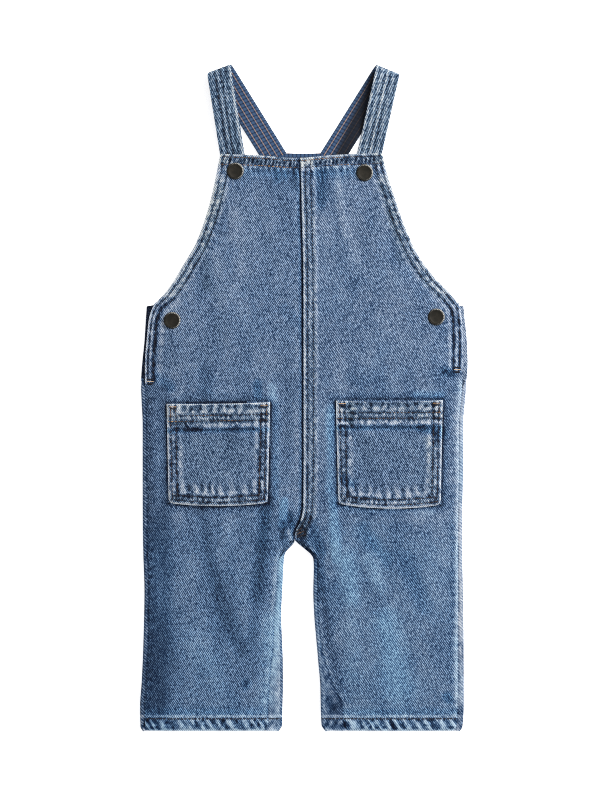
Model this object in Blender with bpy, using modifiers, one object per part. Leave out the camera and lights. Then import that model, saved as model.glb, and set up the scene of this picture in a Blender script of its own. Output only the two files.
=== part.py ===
"""Baby's denim dungarees laid flat, front up: each cut piece as a closed solid.

The garment lies on z = 0 with its straps towards +Y and the viewer above it,
at +Z. Right and left are the wearer's: the right pieces lie at -X. Tables are
in millimetres and each has its columns named first.
"""
from math import cos, pi, radians, sin

import bmesh
import bpy
import numpy as np
from mathutils import Vector

MM = 0.001
MIDDLE = Vector((0.45, 0.85, 0))    # the garment's middle in the tables' terms

CLOTH = 1.2             # denim wall
LINING = 1.0            # check cotton wall
GAP = 0.3               # between two pieces
HEM_RAISE = 0.4         # how far a turned hem stands out
FELL_RAISE = 0.6        # how far the felled centre seam stands out
FELL_WIDTH = 11.5
STEP = 1.0              # run of the slope beside a raised band

BIB_TOP = 192.0
BIB_HALF = 63.0         # half the bib's width at its top
BIB_HEM = 10.0
BIB_DIP = 2.4           # the bib's top edge is this much lower in the middle
BIB_SINK = 0.2          # and this much lower all along
BIB_FOLLOW = 160.0      # the rows above this height follow the top edge's dip
LEG_HEM_TOP = -249.0
POCKET_TOP = -3.0
POCKET_HEM = 19.0
POCKET_BOTTOM = -82.5
POCKET_DIP = 2.6        # the pocket's bottom edge bows down in the middle
ARM_HEM = 7.5           # hem along the armhole and the side opening
OPENING_END = 12.0      # height where the side opening stops at the side seam
CROTCH = -108.0
FRONT_LOW = 1.6         # the front's inner face stays over this height
FRONT_HIGH = 5.1        # and under this one

EDGE_INNER = 0.9        # inner radius of the back where it turns up at an edge
EDGE_OUTER = EDGE_INNER + CLOTH
EDGE_STEPS = 3          # segments round a turned edge
EDGE_SPREAD = 1.5       # spacing of the same points where the edge lies flat
FLAP_LEAST = 0.6        # cloth beyond the turn, where it is only starting
INSEAM_TURN = 15.0      # the leg's edge turns over this far under the crotch
SIDE_TURN_TOP = 22.0    # the side's edge starts to turn at this height
SIDE_TURN = 14.0        # and is right over this far below
NECK_Y = 191.2          # height of the back's neckline in the middle
NECK_HALF = 12.8        # half its width, between the straps
NECK_RISE = 0.5         # how much higher it ends
STRAP_SEAM_SLOPE = 0.62  # fall of the strap's seam, going outwards
BACK_FOLLOW = 150.0     # the back's rows above this follow its top edge

FACING_HALF = 28.6
FACING_ROWS = (0, 6, 13, 21)        # distances below the neckline
FACING_FLARE = 0.12     # the facing widens by this share going down

STRAP_WIDTH = 19.0
STRAP_END = 86.0        # length of the strap from its fold to its end
LINING_INSET = 0.9      # the lining is this much narrower at each edge
LINING_END = 5.0        # and this much shorter at the strap's end
BEND_INNER = 3.0        # inner radius of the strap's fold, to the lining
STRAP_DROP = 55.8       # run over which the strap comes down to the bib
DROP_POWER = 2.4        # a higher power brings it down later and more steeply
DROP_SLANT = 1.018      # the strap runs aslant to its fold, so it is longer
DROP_ROWS = (0.25, 0.5, 0.65, 0.77, 0.86, 0.93, 1.0)
STRAP_REST = 0.3        # height of the strap's end over the table
STRAP_SQUARE = 30.0     # the rows turn square to the strap near its ends

SNAP_RADIUS = 6.6
SNAP_HEIGHT = 2.1

COLLECTION = "kids_dungarees"
SIDES = {"right": -1, "left": 1}


def table(columns, *rows):
    """Columns of numbers by name, from one row for each section."""
    return dict(zip(columns.split(), np.array(rows, dtype=float).T))


# The garment's outer edge below the armholes, as a distance from x = 0.
SILHOUETTE = table(
    "y right left",
    (-258.6, 125.4, 122.4),
    (-255.5, 127.2, 124.2),
    (-240.0, 127.5, 125.2),
    (-220.0, 126.2, 125.2),
    (-190.0, 124.9, 125.1),
    (-150.0, 124.1, 124.6),
    (-120.0, 125.0, 124.0),
    (-95.0, 125.4, 123.9),
    (-60.0, 125.5, 124.6),
    (-20.0, 125.5, 124.7),
    (0.0, 126.4, 126.3),
    (12.0, 126.8, 127.2),
    (28.0, 125.7, 128.2),
    (45.0, 124.0, 127.6),
    (62.0, 122.9, 125.9),
    (73.0, 122.1, 124.8))

# The back's armhole, from the underarm corner up to the strap.
BACK_ARMHOLE = table(
    "y right left",
    (76.0, 112.0, 114.0),
    (84.0, 102.0, 104.0),
    (93.0, 91.0, 91.0),
    (105.0, 76.0, 76.0),
    (118.0, 63.0, 63.0),
    (134.0, 50.0, 50.0),
    (150.0, 39.5, 39.5),
    (166.0, 33.0, 33.0),
    (181.0, 30.4, 30.4),
    (192.0, 29.4, 29.4))

# The bib's armhole and, under its corner, the front edge of the side opening.
BIB_EDGE = table(
    "y right left",
    (75.5, 115.2, 119.9),
    (84.0, 107.6, 113.1),
    (94.0, 100.6, 103.4),
    (103.0, 95.2, 96.0),
    (112.0, 89.6, 89.8),
    (122.0, 84.0, 84.2),
    (140.0, 77.2, 76.6),
    (159.0, 71.8, 70.2),
    (178.0, 67.9, 64.2),
    (188.0, 65.9, 62.0),
    (192.0, 64.9, 61.0))
OPENING_EDGE = table(
    "y right left",
    (12.0, 123.2, 123.4),
    (30.0, 120.4, 122.2),
    (55.0, 117.4, 121.2),
    (74.5, 115.4, 120.2))

# How far the back comes round onto the front: at the sides and the inseams.
SIDE_WRAP = table(
    "y right left",
    (-258.6, 3.6, 6.8),
    (-190.0, 3.6, 6.2),
    (-150.0, 3.4, 3.8),
    (-100.0, 3.4, 2.9),
    (12.0, 3.4, 2.9))
INSEAM_WRAP = table(
    "y right left",
    (-258.6, 11.2, 17.0),
    (-240.0, 11.0, 17.0),
    (-225.0, 10.4, 10.5),
    (-205.0, 8.5, 5.0),
    (-190.0, 6.5, 3.2),
    (-160.0, 4.6, 3.0),
    (-110.0, 3.2, 3.0))

# The centre seam, and the inner edges of the legs, as x.
CENTRE_SEAM = table(
    "y x",
    (-108.0, -7.4),
    (-101.0, -5.0),
    (-94.0, -2.7),
    (-84.0, -1.2),
    (-50.0, -0.3),
    (100.0, -0.2),
    (192.0, -1.9))
LEG_INNER = table(
    "y right left",
    (-258.6, -19.0, 17.0),
    (-254.0, -16.4, 14.0),
    (-240.0, -16.2, 13.4),
    (-225.0, -15.8, 13.1),
    (-205.0, -15.9, 11.5),
    (-187.0, -16.6, 9.9),
    (-168.0, -17.2, 8.3),
    (-150.0, -16.4, 7.6),
    (-131.0, -15.4, 7.2),
    (-122.0, -14.2, 4.7),
    (-117.0, -11.6, 1.0),
    (-112.0, -8.8, -4.3),
    (-110.0, -7.2, -6.4),
    (-108.0, -7.2, -7.2))

# Heights of the front's inner face, at its edges and along its middle.
FRONT_HEIGHT = table(
    "y edge crown",
    (-258.6, 3.0, 3.9),
    (-235.0, 3.0, 4.3),
    (-180.0, 3.0, 4.6),
    (-60.0, 3.0, 4.8),
    (10.0, 3.0, 4.8),
    (26.0, 1.6, 4.8),
    (60.0, 1.6, 4.7),
    (100.0, 1.6, 4.4),
    (135.0, 2.0, 4.0),
    (150.0, 2.7, 3.8),
    (163.0, 3.1, 3.6),
    (192.0, 3.1, 3.3))
CROWN_RUN = 28.0        # the front rises to its crown over this distance
LEG_START = -92.0       # below this the legs part, and each has its own crown
LEG_FULL = -122.0

# Soft folds in the front: a line, its reach to each side, and its rise.
FOLDS = table(
    "x0 y0 x1 y1 reach rise",
    (-12, -84, -22, -114, 9, 0.7),
    (-34, -104, -32, -172, 15, -0.7),
    (-64, -96, -68, -232, 24, 0.4),
    (-113, -60, -114, -150, 11, -0.5),
    (13, -78, 18, -150, 10, -0.7),
    (34, -70, 46, -176, 17, 0.4),
    (78, -106, 72, -206, 19, -0.5),
    (-112, 18, -104, -2, 9, -0.5),
    (111, 26, 106, 4, 9, -0.5),
    (-44, 160, -52, 60, 19, 0.4),
    (52, 150, 58, 70, 19, -0.3))

FRONT_ROWS = (
    192, 182.5, 181.5, 172, 161, 149, 137, 124, 112, 103, 94, 84, 75.5, 74.5,
    62, 48, 34, 26, 19, 12, 5, -3, -12, -21.5, -22.5, -36, -51, -66, -75, -82.5,
    -90, -97, -103, -108, -111, -114, -118, -122, -128, -136, -150, -168, -187,
    -206, -225, -240, -248.5, -249.5, -255, -258.6)
BACK_ROWS = (
    192, 181, 166, 150, 134, 118, 105, 93, 84, 76, 73, 62, 45, 28, 22, 19, 16,
    12, 5, -12, -51, -82.5, -97, -104, -108, -110, -112, -114, -116, -119, -122,
    -128, -136, -150, -168, -187, -206, -225, -240, -248.5, -255, -258.6)

# A panel's columns: a share of its width, plus an inset from the inner edge.
POCKET_SHARES = (0.222, 0.33, 0.44, 0.55, 0.66, 0.77, 0.862)
OUTER_COLUMNS = [(1, -ARM_HEM), (1, -ARM_HEM + STEP), (1, 0)]
FRONT_COLUMNS = {
    "right": [(0, 0), (0.1, 0)] + [(s, 0) for s in POCKET_SHARES] + OUTER_COLUMNS,
    "left": [(0, 0), (0, FELL_WIDTH - STEP), (0, FELL_WIDTH)]
    + [(s, 0) for s in POCKET_SHARES] + OUTER_COLUMNS,
}

# A strap's centre line leaves the back at its root; leans are in degrees off +Y.
STRAPS = {
    "right": dict(root=(-21.4, 187.0), lean=31.75, fold=(-66.3, 257.4), fold_lean=20.4),
    "left": dict(root=(21.4, 186.7), lean=32.0, fold=(65.3, 257.2), fold_lean=22.25),
}

SNAPS = {
    "snap_bib_right": (-53.0, 177.6),
    "snap_bib_left": (47.6, 177.0),
    "snap_side_right": (-102.2, 62.4),
    "snap_side_left": (104.5, 64.7),
}
# The cap's turned profile, as shares of its radius and height.
SNAP_PROFILE = table(
    "radius height",
    (0.0, 0.76),
    (0.58, 0.67),
    (0.72, 1.0),
    (0.9, 1.0),
    (1.0, 0.5),
    (0.95, 0.0),
    (0.0, 0.0))
SNAP_SIDES = 20

# Base colour, roughness and metallic.
FINISHES = {
    "denim": ((0.13, 0.20, 0.31), 0.9, 0.0),
    "pocket": ((0.11, 0.18, 0.28), 0.9, 0.0),
    "strap": ((0.15, 0.21, 0.29), 0.9, 0.0),
    "lining": ((0.07, 0.14, 0.33), 0.9, 0.0),
    "cap": ((0.04, 0.037, 0.03), 0.4, 0.9),
}


def curve_slopes(heights, values):
    """Slopes at the rows that keep the curve from swinging past a row."""
    rises = np.diff(values) / np.diff(heights)
    before = rises[:-1]
    after = rises[1:]
    same_way = before * after > 0
    total = np.where(same_way, before + after, 1.0)
    inner = np.where(same_way, 2 * before * after / total, 0.0)
    return np.concatenate([rises[:1], inner, rises[-1:]])


def read(columns, name, at):
    """One column at a height, along a smooth curve through the rows."""
    heights = columns["y"]
    values = columns[name]
    slopes = curve_slopes(heights, values)
    at = min(max(at, heights[0]), heights[-1])
    row = min(int(np.searchsorted(heights, at, side="right")) - 1, len(heights) - 2)
    span = heights[row + 1] - heights[row]
    t = (at - heights[row]) / span
    start = (1 + 2 * t) * (1 - t) ** 2 * values[row]
    end = t * t * (3 - 2 * t) * values[row + 1]
    bend = t * (1 - t) * ((1 - t) * slopes[row] - t * slopes[row + 1])
    return start + end + bend * span


def in_metres(point):
    """A point of the tables' millimetres, about the garment's middle."""
    return (Vector(point) - MIDDLE) * MM


def ease(t):
    """Rises smoothly from 0 to 1 as t does."""
    t = min(max(t, 0.0), 1.0)
    return t * t * (3 - 2 * t)


def distance_to_line(x, y, x0, y0, x1, y1):
    run = Vector((x1 - x0, y1 - y0))
    start = Vector((x - x0, y - y0))
    share = min(max(start.dot(run) / run.length_squared, 0.0), 1.0)
    return (start - run * share).length


def seam_x(y):
    return read(CENTRE_SEAM, "x", y)


def outline(side, y):
    """The garment's inner and outer edge on one side, at a height, as x."""
    sign = SIDES[side]
    if y >= CROTCH:
        inner = seam_x(y) + sign * GAP / 2
    else:
        inner = read(LEG_INNER, side, y)
    return inner, sign * read(SILHOUETTE, side, y)


def front_edges(side, y):
    """The front panel's inner and outer edge at a height, as x."""
    sign = SIDES[side]
    inner, outer = outline(side, y)
    if y < CROTCH:
        inner += sign * (read(INSEAM_WRAP, side, y) + GAP)
    if y >= BIB_EDGE["y"][0]:
        outer = sign * read(BIB_EDGE, side, y)
    elif y >= OPENING_END:
        outer = sign * read(OPENING_EDGE, side, y)
    else:
        outer -= sign * (read(SIDE_WRAP, side, y) + GAP)
    return inner, outer


def bib_top_shift(x, y):
    """The bib's top edge dips in the middle; the rows under it follow."""
    dip = BIB_DIP * (1 - min(abs(x) / BIB_HALF, 1)) + BIB_SINK
    return -dip * ease((y - BIB_FOLLOW) / (BIB_TOP - BIB_FOLLOW))


def fold_height(x, y):
    total = 0.0
    for x0, y0, x1, y1, reach, rise in zip(*FOLDS.values()):
        away = distance_to_line(x, y, x0, y0, x1, y1) / reach
        total += rise * max(0.0, 1 - away * away) ** 2
    return total


def front_height(side, x, y):
    """The height of the front's inner face."""
    inner, outer = front_edges(side, y)
    edge = read(FRONT_HEIGHT, "edge", y)
    crown = read(FRONT_HEIGHT, "crown", y)
    from_side = ease(abs(outer - x) / CROWN_RUN)
    from_inseam = ease(abs(x - inner) / CROWN_RUN)
    leg = ease((LEG_START - y) / (LEG_START - LEG_FULL))
    rise = from_side * (1 - leg + leg * from_inseam)
    height = edge + (crown - edge) * rise + fold_height(x, y) * rise
    return min(max(height, FRONT_LOW), FRONT_HIGH)


def front_raise(side, column, y):
    """How far hems and the felled seam stand out of the front."""
    share, inset = column
    raises = [0.0]
    if y > BIB_TOP - BIB_HEM or y < LEG_HEM_TOP:
        raises.append(HEM_RAISE)
    if y >= OPENING_END and share == 1 and inset > -ARM_HEM:
        raises.append(HEM_RAISE)
    if side == "left" and share == 0 and inset < FELL_WIDTH and y >= CROTCH:
        raises.append(FELL_RAISE)
    return max(raises)


def front_grid(side):
    """Rows of points on the front's inner face, and the raise at each."""
    sign = SIDES[side]
    points = []
    raises = []
    for y in FRONT_ROWS:
        inner, outer = front_edges(side, y)
        row = []
        for share, inset in FRONT_COLUMNS[side]:
            x = inner + share * (outer - inner) + sign * inset
            row.append((x, y + bib_top_shift(x, y), front_height(side, x, y)))
        points.append(row)
        raises.append([front_raise(side, column, y) for column in FRONT_COLUMNS[side]])
    return points, raises


def turned_edge(edge, sign, turn, wrap):
    """The back's inner face where it turns up and over at an outer edge.

    turn runs from 0, flat, to 1, folded right over. The points start on the
    flat and end at the cloth's edge.
    """
    flap = FLAP_LEAST + (wrap - EDGE_OUTER - FLAP_LEAST) * turn * turn
    angle = pi * turn
    reach = EDGE_OUTER * sin(min(angle, pi / 2)) + flap * max(cos(angle), 0.0)
    centre = edge - sign * reach
    points = []
    for step in range(EDGE_STEPS + 1):
        theta = angle * step / EDGE_STEPS
        spread = (1 - turn) * EDGE_SPREAD * (EDGE_STEPS - step)
        x = centre + sign * (EDGE_INNER * sin(theta) - spread)
        points.append((x, CLOTH + EDGE_INNER * (1 - cos(theta))))
    x, z = points[-1]
    points.append((x + sign * flap * cos(angle), z + flap * sin(angle)))
    return points


def neckline(x):
    """The back's top edge: the neck between the straps, then their seams."""
    beyond = abs(x) - NECK_HALF
    if beyond < 0:
        return NECK_Y + NECK_RISE * (x / NECK_HALF) ** 2
    return NECK_Y + NECK_RISE - beyond * STRAP_SEAM_SLOPE


def back_grid(side):
    """Rows of points on the back's inner face, with its turned edges."""
    sign = SIDES[side]
    points = []
    for y in BACK_ROWS:
        inner, outer = outline(side, y)
        if y > SILHOUETTE["y"][-1]:
            outer = sign * read(BACK_ARMHOLE, side, y)
        inseam_turn = ease((CROTCH - y) / INSEAM_TURN)
        side_turn = ease((SIDE_TURN_TOP - y) / SIDE_TURN)
        inseam = turned_edge(inner, -sign, inseam_turn, read(INSEAM_WRAP, side, y))
        seam = turned_edge(outer, sign, side_turn, read(SIDE_WRAP, side, y))
        start = inseam[0][0]
        end = seam[0][0]
        middle = [(start + (end - start) * share / 3, CLOTH) for share in (1, 2)]
        follow = ease((y - BACK_FOLLOW) / (BIB_TOP - BACK_FOLLOW))
        points.append([(x, y + follow * (neckline(x) - BIB_TOP), z)
                       for x, z in inseam[::-1] + middle + seam])
    return points


def cloth(name, points, finish, thickness, raises=None):
    """A wall of cloth: a sheet through rows of points, thickened outwards.

    raises adds to the thickness at each point, over a plain inner face.
    """
    rows = len(points)
    across = len(points[0])
    mesh = bpy.data.meshes.new(name)
    sheet = bmesh.new()
    bmesh.ops.create_grid(sheet, x_segments=across - 1, y_segments=rows - 1, size=1)
    sheet.verts.ensure_lookup_table()
    for index, vert in enumerate(sheet.verts):
        vert.co = in_metres(points[index // across][index % across])
    sheet.to_mesh(mesh)
    sheet.free()
    piece = bpy.data.objects.new(name, mesh)
    wall = piece.modifiers.new("Wall", "SOLIDIFY")
    wall.offset = 1.0
    wall.use_even_offset = True
    wall.use_quality_normals = True
    wall.thickness = thickness * MM
    if raises is not None:
        most = thickness + max(max(row) for row in raises)
        group = piece.vertex_groups.new(name="wall")
        for index in range(rows * across):
            extra = raises[index // across][index % across]
            group.add([index], (thickness + extra) / most, "REPLACE")
        wall.thickness = most * MM
        wall.vertex_group = "wall"
    finish_piece(piece, finish)


def finish_piece(piece, finish):
    """Links a piece into the garment, with a material of its own."""
    bpy.data.collections[COLLECTION].objects.link(piece)
    colour, roughness, metallic = FINISHES[finish]
    material = bpy.data.materials.new(piece.name)
    material.use_nodes = True
    shader = material.node_tree.nodes["Principled BSDF"]
    shader.inputs["Base Color"].default_value = (*colour, 1)
    shader.inputs["Roughness"].default_value = roughness
    shader.inputs["Metallic"].default_value = metallic
    piece.data.materials.append(material)


def make_front(side):
    points, raises = front_grid(side)
    if side == "left":
        points = [row[::-1] for row in points]
        raises = [row[::-1] for row in raises]
    cloth(f"front_{side}", points, "denim", CLOTH, raises)


def make_back(side):
    points = back_grid(side)
    if side == "right":
        points = [row[::-1] for row in points]
    cloth(f"back_{side}", points, "denim", CLOTH)


def make_pocket(side):
    """A patch pocket, made from the front's points under it, moved out."""
    points, _ = front_grid(side)
    columns = FRONT_COLUMNS[side]
    first = columns.index((POCKET_SHARES[0], 0))
    last = columns.index((POCKET_SHARES[-1], 0))
    grid = []
    raises = []
    for row, y in zip(points, FRONT_ROWS):
        if not POCKET_BOTTOM <= y <= POCKET_TOP:
            continue
        strip = []
        for column in range(first, last + 1):
            x, _, z = row[column]
            across = (column - first) / (last - first) * 2 - 1
            dip = POCKET_DIP * (1 - across * across) if y == POCKET_BOTTOM else 0
            strip.append((x, y - dip, z + CLOTH + GAP))
        grid.append(strip)
        raised = HEM_RAISE if y > POCKET_TOP - POCKET_HEM else 0.0
        raises.append([raised] * len(strip))
    if side == "left":
        grid = [strip[::-1] for strip in grid]
    cloth(f"pocket_{side}", grid, "pocket", CLOTH, raises)


def strap_rows(to_fold, bend):
    """Distances along a strap: close in its fold and where it comes down."""
    lower = np.linspace(0, to_fold, 5)[:-1]
    fold = np.linspace(to_fold, to_fold + bend, 8)
    drop = to_fold + bend + STRAP_DROP * DROP_SLANT * np.array(DROP_ROWS)
    end = to_fold + bend + STRAP_END + np.array([-LINING_END, 0])
    return np.concatenate([lower, fold, drop, end])


def make_strap(side):
    """A strap and its lining: a straight band rolled over at its fold."""
    sign = SIDES[side]
    strap = STRAPS[side]
    lean = radians(strap["lean"])
    fold_lean = radians(strap["fold_lean"])
    along = Vector((sign * sin(lean), cos(lean)))
    across = Vector((along.y, -along.x))
    normal = Vector((sign * sin(fold_lean), cos(fold_lean)))
    root = Vector(strap["root"])
    outer = BEND_INNER + LINING + GAP + CLOTH
    axis = Vector(strap["fold"]) - normal * outer
    skew = across.dot(normal) / along.dot(normal)
    turned = pi * (outer - CLOTH / 2)
    to_fold = (axis - root).dot(normal) / along.dot(normal)
    bend = turned / along.dot(normal)
    length = to_fold + bend + STRAP_END

    def place(s, u, layer):
        """A point of a layer, the layer given as its height on the table."""
        shear = min(1.0, s / STRAP_SQUARE, (length - s) / STRAP_SQUARE)
        flat = root + along * (s - u * skew * shear) + across * u
        beyond = (flat - axis).dot(normal)
        radius = outer - layer
        if beyond <= 0:
            return (*flat, layer)
        if beyond < turned:
            angle = pi * beyond / turned
            plan = flat - normal * (beyond - radius * sin(angle))
            return (*plan, outer - radius * cos(angle))
        run = beyond - turned
        plan = flat - normal * (beyond + run)
        drop = min(run / STRAP_DROP, 1.0) ** DROP_POWER
        top = outer + radius
        rest = STRAP_REST + LINING + GAP + CLOTH - layer
        return (*plan, top + (rest - top) * drop)

    stations = strap_rows(to_fold, bend)
    half = STRAP_WIDTH / 2
    denim = [[place(s, u, CLOTH) for u in np.linspace(half, -half, 4)]
             for s in stations]
    half -= LINING_INSET
    lining = [[place(s, u, CLOTH + GAP) for u in np.linspace(-half, half, 3)]
              for s in stations[:-1]]
    cloth(f"strap_{side}", denim, "strap", CLOTH)
    cloth(f"strap_lining_{side}", lining, "lining", LINING)


def make_back_facing():
    """The check facing inside the back's neck, between the straps' seams."""
    grid = []
    for drop in FACING_ROWS:
        flare = 1 + FACING_FLARE * drop / FACING_HALF
        grid.append([(x * flare, neckline(x) - drop, CLOTH + GAP)
                     for x in np.linspace(FACING_HALF, -FACING_HALF, 11)])
    cloth("back_facing", grid, "lining", LINING)


def make_snap(name, x, y):
    """A snap cap with a rolled rim round a shallow well."""
    side = "right" if x < 0 else "left"
    eighths = [turn * pi / 4 for turn in range(8)]
    rim = [(x + SNAP_RADIUS * cos(turn), y + SNAP_RADIUS * sin(turn)) for turn in eighths]
    under = max(front_height(side, *point) for point in rim + [(x, y)])
    on_hem = HEM_RAISE if y + SNAP_RADIUS > BIB_TOP - BIB_HEM else 0.0
    mesh = bpy.data.meshes.new(name)
    turned = bmesh.new()
    verts = [turned.verts.new((SNAP_RADIUS * out * MM, 0, SNAP_HEIGHT * up * MM))
             for out, up in zip(SNAP_PROFILE["radius"], SNAP_PROFILE["height"])]
    for start, end in zip(verts, verts[1:]):
        turned.edges.new((start, end))
    turned.to_mesh(mesh)
    turned.free()
    cap = bpy.data.objects.new(name, mesh)
    cap.location = in_metres((x, y, under + CLOTH + on_hem + GAP))
    screw = cap.modifiers.new("Turn", "SCREW")
    screw.steps = SNAP_SIDES
    screw.render_steps = SNAP_SIDES
    screw.use_merge_vertices = True
    screw.merge_threshold = 0.00001
    finish_piece(cap, "cap")


def build():
    for thing in list(bpy.data.objects):
        bpy.data.objects.remove(thing, do_unlink=True)
    garment = bpy.data.collections.new(COLLECTION)
    bpy.context.scene.collection.children.link(garment)
    for side in SIDES:
        make_front(side)
        make_back(side)
        make_pocket(side)
        make_strap(side)
    make_back_facing()
    for name, (x, y) in SNAPS.items():
        make_snap(name, x, y)


build()
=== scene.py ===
from math import cos, pi, radians, sin

import bpy
import numpy as np
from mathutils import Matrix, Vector


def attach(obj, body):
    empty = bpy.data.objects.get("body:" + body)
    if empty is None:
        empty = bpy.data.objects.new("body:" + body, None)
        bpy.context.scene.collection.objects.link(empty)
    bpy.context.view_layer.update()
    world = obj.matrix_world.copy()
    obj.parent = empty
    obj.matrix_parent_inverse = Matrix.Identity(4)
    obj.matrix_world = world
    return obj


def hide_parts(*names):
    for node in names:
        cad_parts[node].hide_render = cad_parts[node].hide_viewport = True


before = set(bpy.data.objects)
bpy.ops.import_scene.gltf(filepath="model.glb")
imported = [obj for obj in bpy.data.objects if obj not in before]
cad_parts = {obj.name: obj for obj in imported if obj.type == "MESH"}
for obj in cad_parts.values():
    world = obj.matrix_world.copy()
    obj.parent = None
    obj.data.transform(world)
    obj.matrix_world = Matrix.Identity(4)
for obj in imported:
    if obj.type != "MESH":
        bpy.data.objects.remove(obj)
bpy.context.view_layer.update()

mm = 0.001
middle = np.array((0.45, 0.85, 0.0))  # the garment's middle in the tables' millimetres
signs = {"right": -1, "left": 1}


def table(columns, *rows):
    return dict(zip(columns.split(), np.array(rows, dtype=float).T))


# The cut: edges as distances from x = 0, by height y, in millimetres

silhouette = table(
    "y right left",
    (-258.6, 125.4, 122.4), (-255.5, 127.2, 124.2), (-240, 127.5, 125.2),
    (-220, 126.2, 125.2), (-190, 124.9, 125.1), (-150, 124.1, 124.6),
    (-120, 125.0, 124.0), (-95, 125.4, 123.9), (-60, 125.5, 124.6),
    (-20, 125.5, 124.7), (0, 126.4, 126.3), (12, 126.8, 127.2),
    (28, 125.7, 128.2), (45, 124.0, 127.6), (62, 122.9, 125.9), (73, 122.1, 124.8))
backArmhole = table(
    "y right left",
    (76, 112, 114), (84, 102, 104), (93, 91, 91), (105, 76, 76), (118, 63, 63),
    (134, 50, 50), (150, 39.5, 39.5), (166, 33, 33), (181, 30.4, 30.4),
    (192, 29.4, 29.4))
bibEdge = table(
    "y right left",
    (75.5, 114.6, 119.9), (84, 106.6, 112.5), (94, 99.7, 102.6),
    (103, 94.4, 95.4), (112, 89.0, 89.4), (122, 83.5, 84.4), (140, 76.7, 76.9),
    (159, 71.3, 70.5), (178, 67.4, 64.5), (188, 65.4, 62.3), (192, 64.4, 61.3))
openingEdge = table(
    "y right left",
    (12, 123.4, 124.0), (23, 123.6, 124.0), (30, 123.5, 124.2), (45, 122.3, 124.4),
    (62, 120.5, 123.6), (70, 118.2, 122.6), (74.5, 115.9, 121.4))
sideWrap = table(
    "y right left",
    (-258.6, 3.6, 4.7), (-190, 3.6, 4.4), (-150, 3.4, 3.6), (-100, 3.4, 2.9),
    (12, 3.4, 2.9))
inseamWrap = table(
    "y right left",
    (-258.6, 11.2, 17.0), (-240, 11.0, 17.0), (-225, 10.4, 10.5),
    (-205, 8.5, 5.0), (-190, 6.5, 3.2), (-160, 4.6, 3.0), (-110, 3.2, 3.0))
centreSeam = table(
    "y x",
    (-110.4, -6.7), (-106, -7.0), (-101, -5.6), (-96, -3.2), (-91, -1.6), (-84, -0.6), (-50, -0.2),
    (100, -0.5), (146, -1.6), (192, -2.6))
legInner = table(
    "y right left",
    (-258.6, -19.0, 17.0), (-254, -16.4, 14.0), (-240, -16.2, 13.4),
    (-225, -15.8, 13.1), (-205, -15.9, 11.5), (-187, -16.6, 9.9),
    (-168, -17.2, 8.3), (-150, -16.4, 7.6), (-131, -15.5, 8.0),
    (-124.5, -15.0, 7.6), (-121, -14.1, 5.6), (-117.5, -12.4, 2.2), (-114.5, -9.6, -1.4),
    (-112.4, -7.6, -4.2), (-110.4, -6.8, -6.6))
frontHeight = table(
    "y edge crown",
    (-258.6, 3.0, 3.9), (-235, 3.0, 4.3), (-180, 3.0, 4.6), (-60, 3.0, 4.8),
    (10, 3.0, 4.8), (26, 1.6, 4.8), (60, 1.6, 4.7), (100, 1.6, 4.4),
    (135, 2.0, 4.0), (150, 2.7, 3.8), (163, 3.1, 3.6), (192, 3.1, 3.3))

cut = {
    "cloth": 1.2,           # the denim's wall
    "gap": 0.3,
    "bibTop": 192.0,
    "bibHalf": 63.0,
    "bibDip": 2.4,
    "bibSink": 0.2,
    "bibSinkRight": 0.8,
    "bibSag": 1.5,
    "bibFollow": 160.0,
    "openingEnd": 12.0,
    "tack": {"right": 13.6, "left": 22.9},      # the side openings' feet, as sewn
    "crotch": -110.4,
    "legEnd": -258.6,
    "fellWidth": 11.3,
    "crownRun": 28.0,
    "legStart": -92.0,
    "legFull": -122.0,
    "heights": (1.6, 5.4),  # the least and the most of the front over the surface, under its cloth
    "waves": ((0.7, 31, 11), (0.30, 11, 12), (0.10, 5, 13)),    # soft unevenness: rise, size and seed
    "tint": {"right": 0.0, "left": 0.2},
    "smooth": 48,           # degrees past which an edge of the cloth stays sharp
}

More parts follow.
